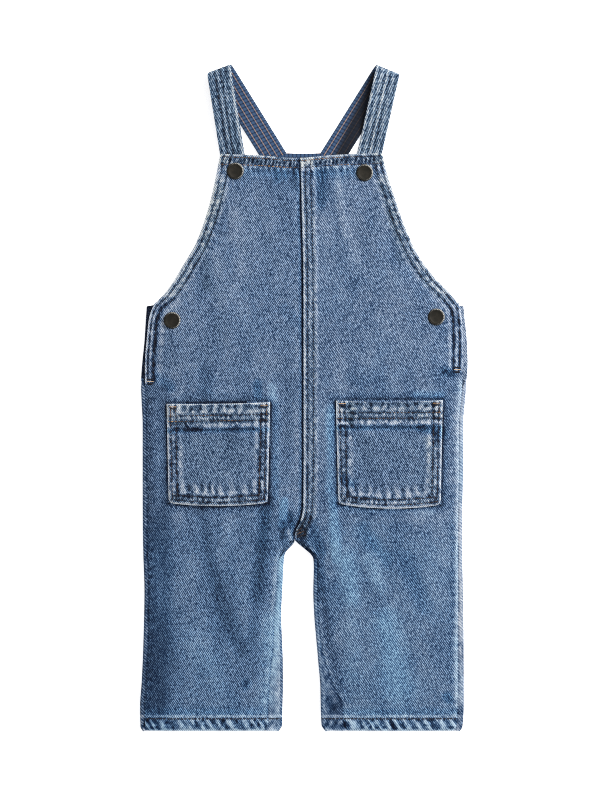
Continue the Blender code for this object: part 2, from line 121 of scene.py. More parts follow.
# Soft troughs and ridges: a line, its reach, its rise, its wear and its tint. The wear is partly real and
# partly painted shade in the troughs and painted highlight on the ridges.
creases = table(
    "x0 y0 x1 y1 reach rise wear tint",
    (-122, -82, -121, -148, 10.1, 0, -0.11, -0.3),
    (-121, -148, -121, -195, 13.3, -0.3, -0.13, -0.2),
    (-119, -195, -118, -246, 21.8, -0.5, -0.14, -0.3),
    (-98, -94, -102, -125, 9.4, 0.3, 0.03, 0),
    (-84, -144, -84, -187, 17.2, 0.5, 0.01, -0.1),
    (-88, -187, -58, -234, 15.6, 0.4, 0.06, 0.4),
    (-80, -84, -73, -125, 7, -0.8, -0.16, 0.1),
    (-73, -125, -63, -165, 8.6, -0.9, -0.16, 0.3),
    (-63, -165, -49, -195, 10.9, -0.8, -0.15, 0.2),
    (-45, -221, -45, -224, 6.2, -0.3, -0.20, 1.4),
    (-63, -94, -55, -133, 7.8, 0.4, 0.04, 0.2),
    (-53, -133, -44, -160, 7, 0.4, 0.05, 0.3),
    (-29, -80, -32, -113, 7, -0.9, -0.22, 1.2),
    (-32, -113, -36, -156, 7.8, -1, -0.24, 0.7),
    (-36, -156, -40, -187, 6.2, -0.6, -0.13, 0.2),
    (-16, -125, -20, -172, 7.8, 0, 0.28, 0.8),
    (-24, -172, -29, -234, 11.7, 0.3, 0.15, 1.0),
    (-15, -80, -16, -98, 4.7, 0.7, 0.14, 3.0),
    (5, -94, 13, -119, 6.2, -0.7, -0.19, 0.8),
    (12, -113, 14, -156, 5, -0.4, -0.26, 0.2),
    (15, -156, 20, -195, 6, -0.6, -0.15, -0.5),
    (23, -195, 27, -243, 9, -0.6, -0.12, -0.6),
    (23, -78, 26, -125, 6.2, 0.7, 0.16, 2.1),
    (33, -125, 38, -156, 12.5, 0.6, 0.14, 1.2),
    (52, -125, 60, -148, 9.4, 0.4, 0.16, 0.6),
    (46, -101, 64, -125, 9.4, -0.4, -0.04, 0.9),
    (80, -125, 93, -160, 12.5, -0.5, -0.07, 0.4),
    (64, -172, 76, -226, 19.5, 0.4, 0.13, 1.3),
    (38, -176, 38, -218, 9.4, 0.3, 0.07, 0.4),
    (122, -86, 123, -187, 7, 0, 0.30, 0),
    (119, -187, 122, -234, 6.2, 0, 0.22, 0.4),
    (122, -244, 122, -247, 6.2, 0, -0.20, 0.0),
    (112, -232, 113, -234, 6.2, -0.2, -0.14, 1.6),
    (33, -83, 99, -87, 6.2, 0.2, 0.19, 0.7),
    (95, -140, 111, -156, 10.9, 0.2, 0.06, -0.1),
    (27, 168, 33, 129, 7, 0.4, 0.15, 0.1),
    (-66, 160, -71, 144, 9.4, 0.3, 0.10, -1.0),
    (-53, 144, -47, 101, 9.4, 0.3, 0.09, 0),
    (-41, 164, -27, 108, 9.4, -0.4, 0, 0.1),
    (-16, 152, -12, 144, 6.2, -0.2, -0.07, -0.3),
    (-8, 183, -7, 165, 4.7, -0.4, -0.27, 0.4),
    (-3.6, 180, -3.2, 156, 1.9, 0.2, 0.22, -0.2),
    (15, 179, 14, 152, 5.5, -0.3, -0.17, 1.0),
    (-21, 182, -20, 171, 4.5, -0.3, -0.12, 1.2),
    (-14, 182, -14, 173, 3.5, -0.2, -0.10, 0.8),
    (6, 179, 5, 158, 3.2, 0, -0.17, 0.6),
    (110, 21.5, 116, 20, 5, -0.3, -0.34, 1.6),
    (-114, 17, -103, 9, 6.5, -0.3, -0.13, 1.4),
    (-108, 8, -107, 7, 4, -0.2, -0.12, 0.4),
    (44, 129, 51, 108, 7.8, -0.3, -0.07, -0.4),
    (-76, 129, -75, 86, 7, -0.3, -0.08, -0.8),
    (-69, 109, -61, 47, 9.4, 0.3, 0.04, -0.4),
    (-76, 22, -77, 4, 7, -0.2, -0.17, 0.4),
    (-36, 12, -35, 2, 5.5, -0.2, -0.15, 1.8),
    (-24, 9, -24, 0, 6.2, 0.2, 0.26, 1.4),
    (60, 164, 56, 117, 7.8, 0.3, -0.01, -0.2),
    (-122, 0, -120, -78, 9.4, 0, -0.11, -0.3),
    (-99, -22, -82, -23, 4.7, -0.3, -0.37, -0.4),
    (-21, -4, -21, -76, 4.7, 0.2, 0.05, 1.1),
    (91, -23, 108, -27, 6.2, -0.4, -0.26, 2.2),
    (30, -62, 38, -66, 5.5, -0.3, -0.17, 1.9),
    (48, -35, 54, -55, 9.4, -0.3, -0.08, -0.3),
    (98, -31, 101, -70, 7, 0.2, 0.10, -0.8),
    (37, -4, 37, -20, 3.9, -0.2, -0.32, -1.7),
    (87, 3, 107, 3, 6.2, 0.2, 0.07, 1.4),
    (124, 12, 123, -23, 8.6, 0, 0.25, 0.4),
    (122, -23, 123, -82, 5.5, 0, 0.20, 0.4),
    (-14, 70, -2, 55, 9.4, -0.2, -0.09, 0.4),
    (21, -8, 21, -74, 6.2, 0.3, 0.11, 1.8),
    (68, 144, 76, 109, 7, 0.2, -0.08, -1.1),
    (-30, 125, -26, 108, 7.8, -0.2, -0.08, -0.3),
    (33, -55, 44, -78, 7.8, 0.2, -0.02, -0.1),
    (-76, -113, -76, -114, 6.2, 0, -0.09, 0.2),
    (107, -94, 111, -125, 10.9, 0.2, 0.05, -0.2),
    (-3, -99, 0, -106, 5, -0.2, -0.30, -2.0),
    (-2, -112, 9, -124, 3.2, 0, -0.30, -1.0),
    (-11, -90, -9, -98, 3.6, -0.5, -0.28, 2.0),
    (-15, -96, -16.5, -108, 3.2, -0.5, -0.28, 0.5),
    (-11.5, -103, -9, -111, 2.2, 0.2, 0.30, 0))


def curve(rows, name, at):
    # A smooth curve through a table's rows that never swings past one.
    heights, values = rows["y"], rows[name]
    rises = np.diff(values) / np.diff(heights)
    before, after = rises[:-1], rises[1:]
    sameWay = before * after > 0
    total = np.where(sameWay, before + after, 1.0)
    slopes = np.concatenate([rises[:1], np.where(sameWay, 2 * before * after / total, 0), rises[-1:]])
    at = np.clip(at, heights[0], heights[-1])
    row = np.clip(np.searchsorted(heights, at, side="right") - 1, 0, len(heights) - 2)
    span = heights[row + 1] - heights[row]
    t = (at - heights[row]) / span
    start = (1 + 2 * t) * (1 - t) ** 2 * values[row]
    end = t * t * (3 - 2 * t) * values[row + 1]
    bend = t * (1 - t) * ((1 - t) * slopes[row] - t * slopes[row + 1])
    return start + end + bend * span


def ease(t):
    t = np.clip(t, 0, 1)
    return t * t * (3 - 2 * t)


def below(value, limit, soft):
    # 0 past a limit, rising to 1 over a soft width before it.
    return ease((limit - value) / soft)


def above(value, limit, soft):
    return ease((value - limit) / soft)


def bump(d, at, width):
    return np.exp(-((d - at) / width) ** 2)


def together(*values):
    # Points or pairs from their coordinates.
    return np.stack(np.broadcast_arrays(*values), axis=-1)


def cloud(x, y, size, seed):
    # Soft random unevenness from -0.5 to 0.5.
    lattice = np.random.default_rng(seed).random((61, 61)) - 0.5
    gx = x / size + 300.3
    gy = y / size + 300.7
    i = np.floor(gx).astype(int)
    j = np.floor(gy).astype(int)
    fx = ease(gx - i)
    fy = ease(gy - j)
    i, j, k, m = i % 61, j % 61, (i + 1) % 61, (j + 1) % 61
    low = lattice[i, j] * (1 - fx) + lattice[k, j] * fx
    high = lattice[i, m] * (1 - fx) + lattice[k, m] * fx
    return low * (1 - fy) + high * fy


def ripple(s, pitch, seed, sharp=1.0):
    # Uneven puckers along a seam, from -1 to 1: no two alike in width or height.
    drift = cloud(s, s * 0, pitch * 2.3, seed) * pitch * 1.5
    height = 0.75 + 1.1 * cloud(s, s * 0 + 9, pitch * 1.7, seed + 1)
    wave = 0.5 + 0.5 * np.sin(2 * pi * (s + drift) / pitch)
    return (2 * wave ** sharp - 1) * np.clip(height, 0.15, 1.3)


def seamX(y):
    return curve(centreSeam, "x", y)


def outline(side, y):
    sign = signs[side]
    inner = np.where(y >= cut["crotch"], seamX(y) + sign * cut["gap"] / 2, curve(legInner, side, y))
    return inner, sign * curve(silhouette, side, y)


def frontEdges(side, y):
    sign = signs[side]
    inner, outer = outline(side, y)
    inner = np.where(y < cut["crotch"], inner + sign * (curve(inseamWrap, side, y) + cut["gap"]), inner)
    lower = outer - sign * (curve(sideWrap, side, y) + cut["gap"])
    opening = sign * curve(openingEdge, side, y)
    bib = sign * curve(bibEdge, side, y)
    outer = np.where(y >= bibEdge["y"][0], bib, np.where(y >= cut["openingEnd"], opening, lower))
    return inner, outer


def topShift(x, y):
    dip = cut["bibDip"] * (1 - np.minimum(np.abs(x) / cut["bibHalf"], 1)) + cut["bibSink"]
    dip = dip + cut["bibSinkRight"] * ease(-x / 20) + cut["bibSag"] * bump(x, -4, 19)
    return -dip * above(y, cut["bibFollow"], cut["bibTop"] - cut["bibFollow"])


def lineDistance(x, y, x0, y0, x1, y1):
    # How far points are from a straight line, and how far along it their nearest spots lie.
    dx, dy = x1 - x0, y1 - y0
    share = np.clip(((x - x0) * dx + (y - y0) * dy) / (dx * dx + dy * dy), 0, 1)
    return np.hypot(x - x0 - share * dx, y - y0 - share * dy), share * np.hypot(dx, dy)


def pathDistance(x, y, path):
    # The same for a path of points.
    best = np.full(np.shape(x), 1e9)
    run = np.zeros(np.shape(x))
    done = 0.0
    for start, end in zip(path[:-1], path[1:]):
        away, along = lineDistance(x, y, *start, *end)
        run = np.where(away < best, done + along, run)
        best = np.minimum(away, best)
        done += np.hypot(*np.subtract(end, start))
    return best, run


def sidePath(side):
    # The armhole's edge and the side opening's below it, from the bib's top down.
    y = np.concatenate([np.arange(192, 82, -3.0), np.arange(82, 66, -1.5), np.arange(66, 11.9, -3.0)])
    _, x = frontEdges(side, y)
    return together(x, y)


# Seams and hems: bands across each, as (distance from the edge, width, amount), the tint and the
# softness over each, as (amount, reach, fading width), and where the rows of stitches run

# The darker wear bands, in the grooves and under the hems' edges, are partly painted shade; the pale ones
# are worn ridges.
hems = {
    "armhole_right": {
        "width": 9.4, "raise": 0.45,
        "lift": [(0, 1.0, -0.75), (3.2, 0.8, -0.28), (5.5, 1.2, 0.14), (8.1, 0.9, -0.36)],
        "wear": [(0.4, 1.6, 0.62), (3.1, 0.7, -0.16), (5.4, 1.5, 0.20), (8.1, 0.9, -0.26),
                 (10.2, 1.1, 0.14)],
        "tint": (-1.3, 11, 4),
        "rows": (3.2, 8.1),
    },
    "armhole_left": {
        "width": 8.4, "raise": 0.45,
        "lift": [(0, 1.0, -0.75), (2.5, 0.8, -0.20), (4.4, 1.1, 0.12), (7.1, 1.0, -0.36)],
        "wear": [(0.1, 1.3, 0.46), (2.4, 0.8, -0.06), (4.6, 1.2, 0.18), (7.0, 1.2, -0.20),
                 (9.8, 1.3, 0.12)],
        "tint": (-1.3, 11, 4),
        "rows": (2.5, 7.2),
    },
    "opening_right": {
        "width": 8.6, "raise": 0.4,
        "lift": [(0, 1.0, -0.7), (2.3, 0.8, -0.30), (6.6, 1.4, -0.34)],
        "wear": [(0.6, 0.8, 0.62), (2.2, 0.7, -0.36), (3.8, 0.9, 0.40), (6.6, 1.6, -0.40),
                 (11.4, 2.4, 0.20)],
        "soft": (0.25, 9, 2),
        "rows": (2.3, 6.4),
    },
    "opening_left": {
        "width": 8.4, "raise": 0.4,
        "lift": [(0, 1.0, -0.7), (2.3, 0.8, -0.30), (7.0, 1.0, -0.34), (9.8, 1.2, 0.12)],
        "wear": [(0.3, 0.8, 0.52), (2.3, 0.9, -0.34), (4.7, 0.9, 0.38), (7.1, 1.1, -0.40),
                 (9.9, 1.3, 0.22)],
        "soft": (0.25, 9, 2),
        "rows": (2.4, 7.0),
    },
    "bib": {
        "width": 10.0, "raise": 0.4,
        "lift": [(0, 0.9, -0.75), (2.3, 0.7, -0.26), (8.3, 0.7, -0.30)],
        "wear": [(0.4, 1.0, 0.30), (2.4, 0.8, -0.12), (5.2, 1.9, -0.07), (8.3, 0.8, -0.10),
                 (10.0, 1.0, 0.16), (12.4, 1.6, -0.05)],
        "blue": [(14, 5, 1.0)], "tint": (-1.2, 9, 3), "soft": (0.35, 10, 2),
        "rows": (2.2, 8.3),
    },
    "leg": {
        "width": 10.0, "raise": 0.4,
        "lift": [(0, 1.2, -0.9), (9.2, 0.75, -0.32), (11.3, 0.9, 0.15)],
        "wear": [(0.2, 1.3, 0.26), (8.2, 0.7, -0.10), (11.4, 0.9, 0.34)],
        "blue": [(14.5, 3.0, 1.0)], "tint": (0.5, 9, 2), "soft": (0.3, 9, 2),
        "rows": (9.3,),
    },
    "fell": {
        "lift": [(0, 0.5, -0.55), (1.3, 0.7, 0.16), (3.7, 0.7, -0.26), (5.6, 1.1, 0.06),
                 (8.0, 0.7, -0.26)],
        "wear": [(0, 0.3, -0.4), (1.2, 0.7, 0.50), (3.7, 1.0, -0.20), (5.7, 0.9, 0.10),
                 (8.0, 0.9, -0.17), (10.4, 1.5, 0.17)],
        "uneven": [(2, 1.2, 0.07), (11, 2.0, 0.06)],
        "beside": [(1.8, 1.1, -0.05), (4.5, 2.0, 0.05)],    # on the panel that runs under it
        "rows": (3.7, 8.0),
    },
    "pocketSide": {
        "width": 11, "raise": 0,
        "lift": [(0, 1.0, -0.8), (2.9, 0.75, -0.30), (4.9, 0.9, 0.10), (6.9, 0.75, -0.30)],
        "wear": [(0.1, 1.0, 0.84), (2.8, 0.9, -0.20), (4.6, 0.8, 0.12), (6.8, 1.1, -0.36),
                 (10.2, 2.0, 0.16)],
        "rows": (2.9, 6.9),
    },
    "pocketTop": {
        "width": 19.4, "raise": 0.4,
        "lift": [(0, 1.0, -0.8), (9.5, 0.7, -0.28), (13.8, 0.7, -0.28)],
        "wear": [(0.1, 1.0, 0.74), (2.6, 1.4, -0.06), (6.6, 1.4, 0.20), (9.5, 0.9, -0.20),
                 (11.7, 0.8, 0.14), (14.2, 1.2, -0.20), (17.0, 1.5, 0.28), (20.7, 1.3, -0.30)],
        "blue": [(21.2, 2.2, 2.2)], "tint": (-0.7, 17, 3), "soft": (0.2, 18, 3),
        "rows": (9.5, 13.8),
    },
}

# The front's edges, which roll down into the back's: their waves' pitch and seed, how they rise and
# wear, and where.
edges = {
    "side": {
        "pitch": 7.3, "seed": 61, "rise": 0.12, "high": (3, 3), "worn": (2.5, 3),
        "rub": {"right": 0.08, "left": 0.10},
        "wear": {"right": [], "left": [(0, 0.6, -0.10), (0.8, 1.3, 0.27), (5, 2, -0.03)]},
    },
    "inseam": {
        "pitch": 8.1, "seed": 65, "rise": 0.14, "high": (4, 4), "worn": (3, 4),
        "rub": {"right": 0.07, "left": 0.07},
        "wear": {"right": [(0, 0.8, -0.08), (2.2, 1.5, 0.12)],
                 "left": [(0, 0.8, -0.08), (2.2, 1.5, 0.12)]},
    },
}

# Little folds across a seam: slant, pitch, seed, sharpness, place from the edge, width, rise and wear.
puckers = {
    "armhole": ((0, 3.4, 21, 1, 5.6, 1.7, 0.10, 0.09), (0, 6.1, 23, 1, 11, 2.6, 0.10, 0.09)),
    "bib": ((0.2, 3.2, 31, 1.6, 5.4, 2.2, 0.20, 0.40),),
    "leg": ((-0.2, 5.2, 55, 1, 12.6, 1.8, 0.10, 0.16),),
    "pocketMouth": ((0.25, 6.9, 2, 0.7, 4.8, 3.6, 0.24, 0.34),),
    "pocketTop": ((0, 3.0, 4, 1, 10.8, 1.6, 0.12, 0.32), (0, 4.4, 6, 1, 16.4, 2.4, 0.16, 0.20)),
    "pocketPull_right": ((0.1, 7.9, 10, 0.7, 12.6, 4.6, 0.30, 0.34),),
    "pocketPull_left": ((0.1, 7.9, 10, 0.7, 12.6, 4.6, 0.30, 0.26),),
    "pocketBottom": ((0, 2.9, 8, 1, 5.0, 1.6, 0.12, 0.34),),
    "pocketSide": ((0, 5.2, 12, 1, 5.0, 2.4, 0.10, 0.14),),
}


def bands(d, rows):
    return sum(amount * bump(d, at, width) for at, width, amount in rows)


def lumpyBands(d, s, rows):
    # The same bands, each uneven along the seam: the folds under it wear in spots.
    wear = 0
    for at, width, amount in rows:
        lump = cloud(s, 0 * s + 17 * at, 4.2, 8) + 0.7 * cloud(s, 0 * s + 17 * at, 2.1, 9)
        wear = wear + amount * bump(d, at, width) * (1 + (0.8 if amount > 0 else 0.5) * lump)
    return wear


def layHem(face, d, s, hem, share=1.0):
    # Adds a hem to a face, d from its edge and s along it: its folds, and their worn beads.
    raised = hem["raise"] * ease((hem["width"] - d) / 1.1 + 0.5)
    beads = 0.62 * cloud(s, d, 1.9, 17) + 0.16 * cloud(s, d * 0.7, 4.3, 18)
    face["z"] += share * (raised + bands(d, hem["lift"]))
    face["wear"] += share * (lumpyBands(d, s, hem["wear"]) + beads * below(d, hem["width"] + 1.5, 3))
    face["tint"] += share * bands(d, hem.get("blue", []))
    for mark in ("tint", "soft"):
        amount, reach, fading = hem.get(mark, (0, 1, 1))
        face[mark] += share * amount * below(d, reach, fading)


def layPuckers(face, d, s, rows, share=1.0, seed=0):
    # Adds rows of little folds to a face.
    for slant, pitch, number, sharp, at, width, rise, wear in rows:
        fold = share * ripple(s + slant * d, pitch, seed + number, sharp) * bump(d, at, width)
        face["z"] += rise * fold
        face["wear"] += wear * fold


pockets = {
    "right": dict(corners=((-106.5, -3.9), (-25.9, -2.6), (-27.8, -80.9), (-104.9, -81.1)),
                  sag=2.4, dip=0.6),
    "left": dict(corners=((25.4, -1.4), (108.6, -1.0), (106.9, -82.4), (27.3, -81.6)),
                 sag=3.4, dip=1.2),
}


def newFace(x):
    return {key: np.zeros(np.shape(x)) for key in ("z", "wear", "tint", "soft")}


def openingShare(y):
    # 0 along the armhole, 1 along the side opening below it.
    return below(y, 82, 12)


def creased(x, y):
    # What the creases add to a face.
    high, low = newFace(x), newFace(x)
    uneven = 1 + 0.5 * cloud(x, y, 23, 5)
    for x0, y0, x1, y1, reach, rise, wear, tint in zip(*creases.values()):
        away = lineDistance(x, y, x0, y0, x1, y1)[0] / (reach * uneven)
        share = np.maximum(0, 1 - away ** 2) ** 2
        for key, amount in (("z", rise), ("wear", wear), ("tint", tint)):
            # where two meet the stronger counts, so that no knot shows
            high[key] = np.maximum(high[key], amount * share)
            low[key] = np.minimum(low[key], amount * share)
    return {key: high[key] + low[key] for key in ("z", "wear", "tint")}


def layArmhole(face, side, x, y):
    # The armhole's hem and the side opening's below it.
    d, s = pathDistance(x, y, sidePath(side))
    onSide = above(y, cut["tack"][side] - 4, 5)
    opening = openingShare(y)
    layPuckers(face, d, s, puckers["armhole"], onSide)
    layHem(face, d, s, hems[f"armhole_{side}"], onSide * (1 - opening))
    layHem(face, d, s, hems[f"opening_{side}"], onSide * opening)


def layBibHem(face, x, y):
    d = cut["bibTop"] - y
    pull = ripple(x - 0.15 * d, 4.6, 33, 1.4) * above(d, 8.6, 1.5) * np.exp(-np.maximum(d - 9, 0) / 6.5)
    face["z"] += 0.3 * pull
    face["wear"] += 0.30 * pull
    layPuckers(face, d, x, puckers["bib"])
    layHem(face, d, x, hems["bib"])


def layFell(face, side, x, y):
    # The centre seam, pale where it passes the bib's hem: felled on the left, the other side runs under.
    fell = hems["fell"]
    d = np.maximum((x - seamX(y)) * signs[side], 0)
    hemmed = above(y, cut["bibTop"] - 10, 2)
    seamed = above(y, cut["crotch"], 6)
    uneven = ripple(y, 3.1, 41) * 0.5 + ripple(y, 7.7, 43) * 0.5
    if side == "right":
        # the panel that runs under dips at the seam, and a painted shadow darkens it along the fell's edge
        face["z"] -= seamed * (np.exp(-d / 0.8) + 0.25 * np.exp(-d / 4))
        face["wear"] += seamed * (bands(d, fell["beside"]) + 0.05 * uneven * bump(d, 3, 3)
                                  - 1.1 * (1 - 0.55 * hemmed) * bump(d, 0, 1))
        face["tint"] += 0.9 * seamed * bump(d, 1.8, 1.6)
        return
    onFell = below(d, cut["fellWidth"], 1.5)
    foot = below(y, -82, 16)
    narrow = 1 + 0.12 * below(y, -70, 30)
    raised = 0.55 * ease((cut["fellWidth"] - d * narrow) / 1.2 + 0.5)
    face["z"] += seamed * (raised + bands(d, fell["lift"]) + 0.10 * uneven * bump(d, 6, 5))
    face["wear"] += seamed * (bands(d, fell["wear"]) + uneven * bands(d, fell["uneven"])
                              + 0.5 * cloud(x, y, 1.7, 45) * onFell)
    face["wear"] += (0.30 * hemmed - 0.12 * foot) * onFell
    face["tint"] -= seamed * (0.9 + 1.1 * foot) * onFell


def layLegHem(face, side, x, y):
    # The leg's hem, roped aslant.
    d = y - cut["legEnd"]
    rope = ripple(x + 0.62 * d, 7.6, 51 + signs[side], 2.2) * ease(d / 1.5) * below(d, 9.4, 1.4)
    low = below(d, 16, 6)
    face["z"] += low * 0.34 * rope
    face["wear"] += low * (0.46 * rope + 0.20 * below(d, 10, 2))
    layPuckers(face, d, x, puckers["leg"], low)
    layHem(face, d, x, hems["leg"])


def layEdge(face, side, edge, down, d, y):
    wave = down * ripple(y, edge["pitch"], edge["seed"] + signs[side])
    face["z"] += edge["rise"] * wave * bump(d, *edge["high"]) - 0.40 * down * bump(d, 0, 0.8)
    face["wear"] += down * bands(d, edge["wear"][side]) + edge["rub"][side] * wave * bump(d, *edge["worn"])


def layEdges(face, side, fromOuter, fromInner, y):
    # The side seam and the inseam, where the front rolls into the back's edge.
    down = below(y, cut["openingEnd"] + 1, 5)
    layEdge(face, side, edges["side"], down, fromOuter, y)
    layEdge(face, side, edges["inseam"], below(y, cut["crotch"] - 2, 6), fromInner, y)
    if side == "right":
        # painted shade: this side is made darker, bluer and softer, as it falls away from the light
        away = down * (0.4 + 0.6 * below(y, -70, 30)) * below(fromOuter, 24, 10)
        face["wear"] -= away * (0.04 + 0.06 * bump(fromOuter, 12, 4))
        face["tint"] += 0.45 * away
        face["soft"] += 0.4 * away


def frontFace(side, x, y, pocket=True):
    # The front's outer surface over x and y: its height and its marks.
    face = newFace(x)
    inner, outer = frontEdges(side, y)
    fromOuter, fromInner = np.abs(outer - x), np.abs(x - inner)
    edge = curve(frontHeight, "edge", y)
    crown = curve(frontHeight, "crown", y)
    leg = below(y, cut["legStart"], cut["legStart"] - cut["legFull"])
    rise = ease(fromOuter / cut["crownRun"]) * (1 - leg + leg * ease(fromInner / cut["crownRun"]))
    crease = creased(x, y)
    face["z"] += np.clip(edge + (crown - edge + crease["z"]) * rise, *cut["heights"]) + cut["cloth"]
    face["z"] += ease(rise * 2) * sum(amount * cloud(x, y, *kind) for amount, *kind in cut["waves"])
    face["wear"] += crease["wear"] + 0.10 * cloud(x * 1.5, y * 0.6, 16, 14) + 0.06 * cloud(x, y, 6, 15)
    face["tint"] += crease["tint"] + 0.5 * cloud(x, y, 33, 16) + 0.6 * below(y, -70, 50)
    face["tint"] += cut["tint"][side]
    layArmhole(face, side, x, y)
    layBibHem(face, x, y)
    layFell(face, side, x, y)
    layLegHem(face, side, x, y)
    layEdges(face, side, fromOuter, fromInner, y)
    if pocket:
        # the cloth beside the pocket is sunk a little and darkened with a painted shadow of the pocket's
        # edge, with a faint lighter band further out
        d, out = pocketDistance(side, x, y)
        face["z"] -= 0.5 * out * np.exp(-d / 3.2)
        face["wear"] += out * (-0.72 * np.exp(-d / 1.1) - 0.10 * np.exp(-d / 5) + 0.04 * bump(d, 9, 3))
    return face


def pocketDistance(side, x, y):
    # How far a point is from the pocket's edge, and whether it is outside.
    path = pocketPath(side)
    a, b, c, e = pockets[side]["corners"]
    d, _ = pathDistance(x, y, path + [path[0]])
    left = x < np.interp(y, (e[1], a[1]), (e[0], a[0]))
    right = x > np.interp(y, (c[1], b[1]), (c[0], b[0]))
    top = y > np.interp(x, (a[0], b[0]), (a[1], b[1]))
    under = y < np.interp(x, *np.transpose(path[:1:-1]))
    return d, left | right | top | under


def sag(share):
    # 0 at both ends of a span and 1 in its middle.
    return 1 - (2 * share - 1) ** 2


def pocketPath(side):
    # The pocket's edge from its top left corner, clockwise, its bottom sagging.
    a, b, c, e = pockets[side]["corners"]
    return [a, b] + [(c[0] + (e[0] - c[0]) * t, c[1] + (e[1] - c[1]) * t - pockets[side]["sag"] * sag(t))
                     for t in np.linspace(0, 1, 13)]


def steppedRows(*stops):
    # Numbers from the first stop to the last; each stop gives the step after it.
    parts = [np.linspace(a, b, max(1, round(abs(a - b) / step)), endpoint=False)
             for (a, step), (b, _) in zip(stops[:-1], stops[1:])]
    return np.concatenate(parts + [np.array([stops[-1][0]])])


def makeSheet(name, points, spread, face, wall, material, flip=False, outwards=False, outerWear=None):
    # A thin shell of cloth through rows of points, with its marks kept on its points. The side that
    # an outwards shell adds can have a wear of its own.
    rows, across = points.shape[:2]
    bpy.ops.object.select_all(action="DESELECT")
    bpy.ops.mesh.primitive_grid_add(x_subdivisions=across - 1, y_subdivisions=rows - 1, size=1)
    piece = bpy.context.object
    piece.name = piece.data.name = name
    mesh = piece.data
    mesh.vertices.foreach_set("co", ((points - middle) * mm).ravel())
    uvLayer = mesh.uv_layers[0] if mesh.uv_layers else mesh.uv_layers.new()
    uvLayer.name = "cloth"
    corner = np.empty(len(mesh.loops), dtype=int)
    mesh.loops.foreach_get("vertex_index", corner)
    uvLayer.data.foreach_set("uv", spread.reshape(-1, 2)[corner].ravel())
    for mark in ("wear", "tint", "soft"):
        layer = mesh.attributes.new(mark, "FLOAT", "POINT")
        layer.data.foreach_set("value", np.broadcast_to(face[mark], (rows, across)).ravel().copy())
    if flip:
        mesh.flip_normals()
    mesh.update()
    shell = piece.modifiers.new("Shell", "SOLIDIFY")
    shell.thickness = wall * mm
    shell.offset = 1 if outwards else -1
    bpy.ops.object.modifier_apply(modifier=shell.name)
    if outerWear is not None:
        worn = np.empty(len(piece.data.vertices))
        layer = piece.data.attributes["wear"].data
        layer.foreach_get("value", worn)
        worn[:rows * across] = outerWear.ravel()
        layer.foreach_set("value", worn)
    bpy.ops.object.shade_smooth_by_angle(angle=radians(cut["smooth"]))
    mesh.materials.append(material)
    return piece


def pointsOf(mesh):
    found = np.empty(len(mesh.vertices) * 3)
    mesh.vertices.foreach_get("co", found)
    return found.reshape(-1, 3)


def copyOf(model, name):
    bpy.ops.object.select_all(action="DESELECT")
    model.select_set(True)
    bpy.context.view_layer.objects.active = model
    bpy.ops.object.duplicate(linked=False)
    piece = bpy.context.object
    piece.name = piece.data.name = name
    return piece


def stacked(piece, count):
    # Repeats a piece on the spot, and gives the points of each of the copies in its mesh.
    array = piece.modifiers.new("Row", "ARRAY")
    array.count = count
    array.relative_offset_displace = (0, 0, 0)
    bpy.ops.object.modifier_apply(modifier=array.name)
    return pointsOf(piece.data).reshape(count, -1, 3)


class Value:
    # A shader socket that sums can be written with.
    def __init__(self, sheet, socket):
        self.sheet = sheet
        self.socket = socket

    def math(self, operation, *others):
        return self.sheet.node("Math", dict(operation=operation), *([self] + list(others))).out()

    def __add__(self, other):
        return self.math("ADD", other)

    def __sub__(self, other):
        return self.math("SUBTRACT", other)

    def __mul__(self, other):
        return self.math("MULTIPLY", other)

    def __truediv__(self, other):
        return self.math("DIVIDE", other)

    def __rsub__(self, other):
        return self.sheet.node("Math", dict(operation="SUBTRACT"), other, self).out()

    __radd__ = __add__
    __rmul__ = __mul__

    def clamp(self, low=0.0, high=1.0):
        return self.math("MAXIMUM", low).math("MINIMUM", high)

    def wave(self, pitch=1.0):
        return (self * (2 * pi / pitch)).math("SINE")

    def hump(self, at, width):
        # 1 at a value, falling to 0 at a width to each side of it.
        return (1 - (self - at).math("ABSOLUTE") / width).clamp()


class Added:
    def __init__(self, sheet, node):
        self.sheet = sheet
        self.node = node

    def out(self, name=0):
        return Value(self.sheet, self.node.outputs[name])


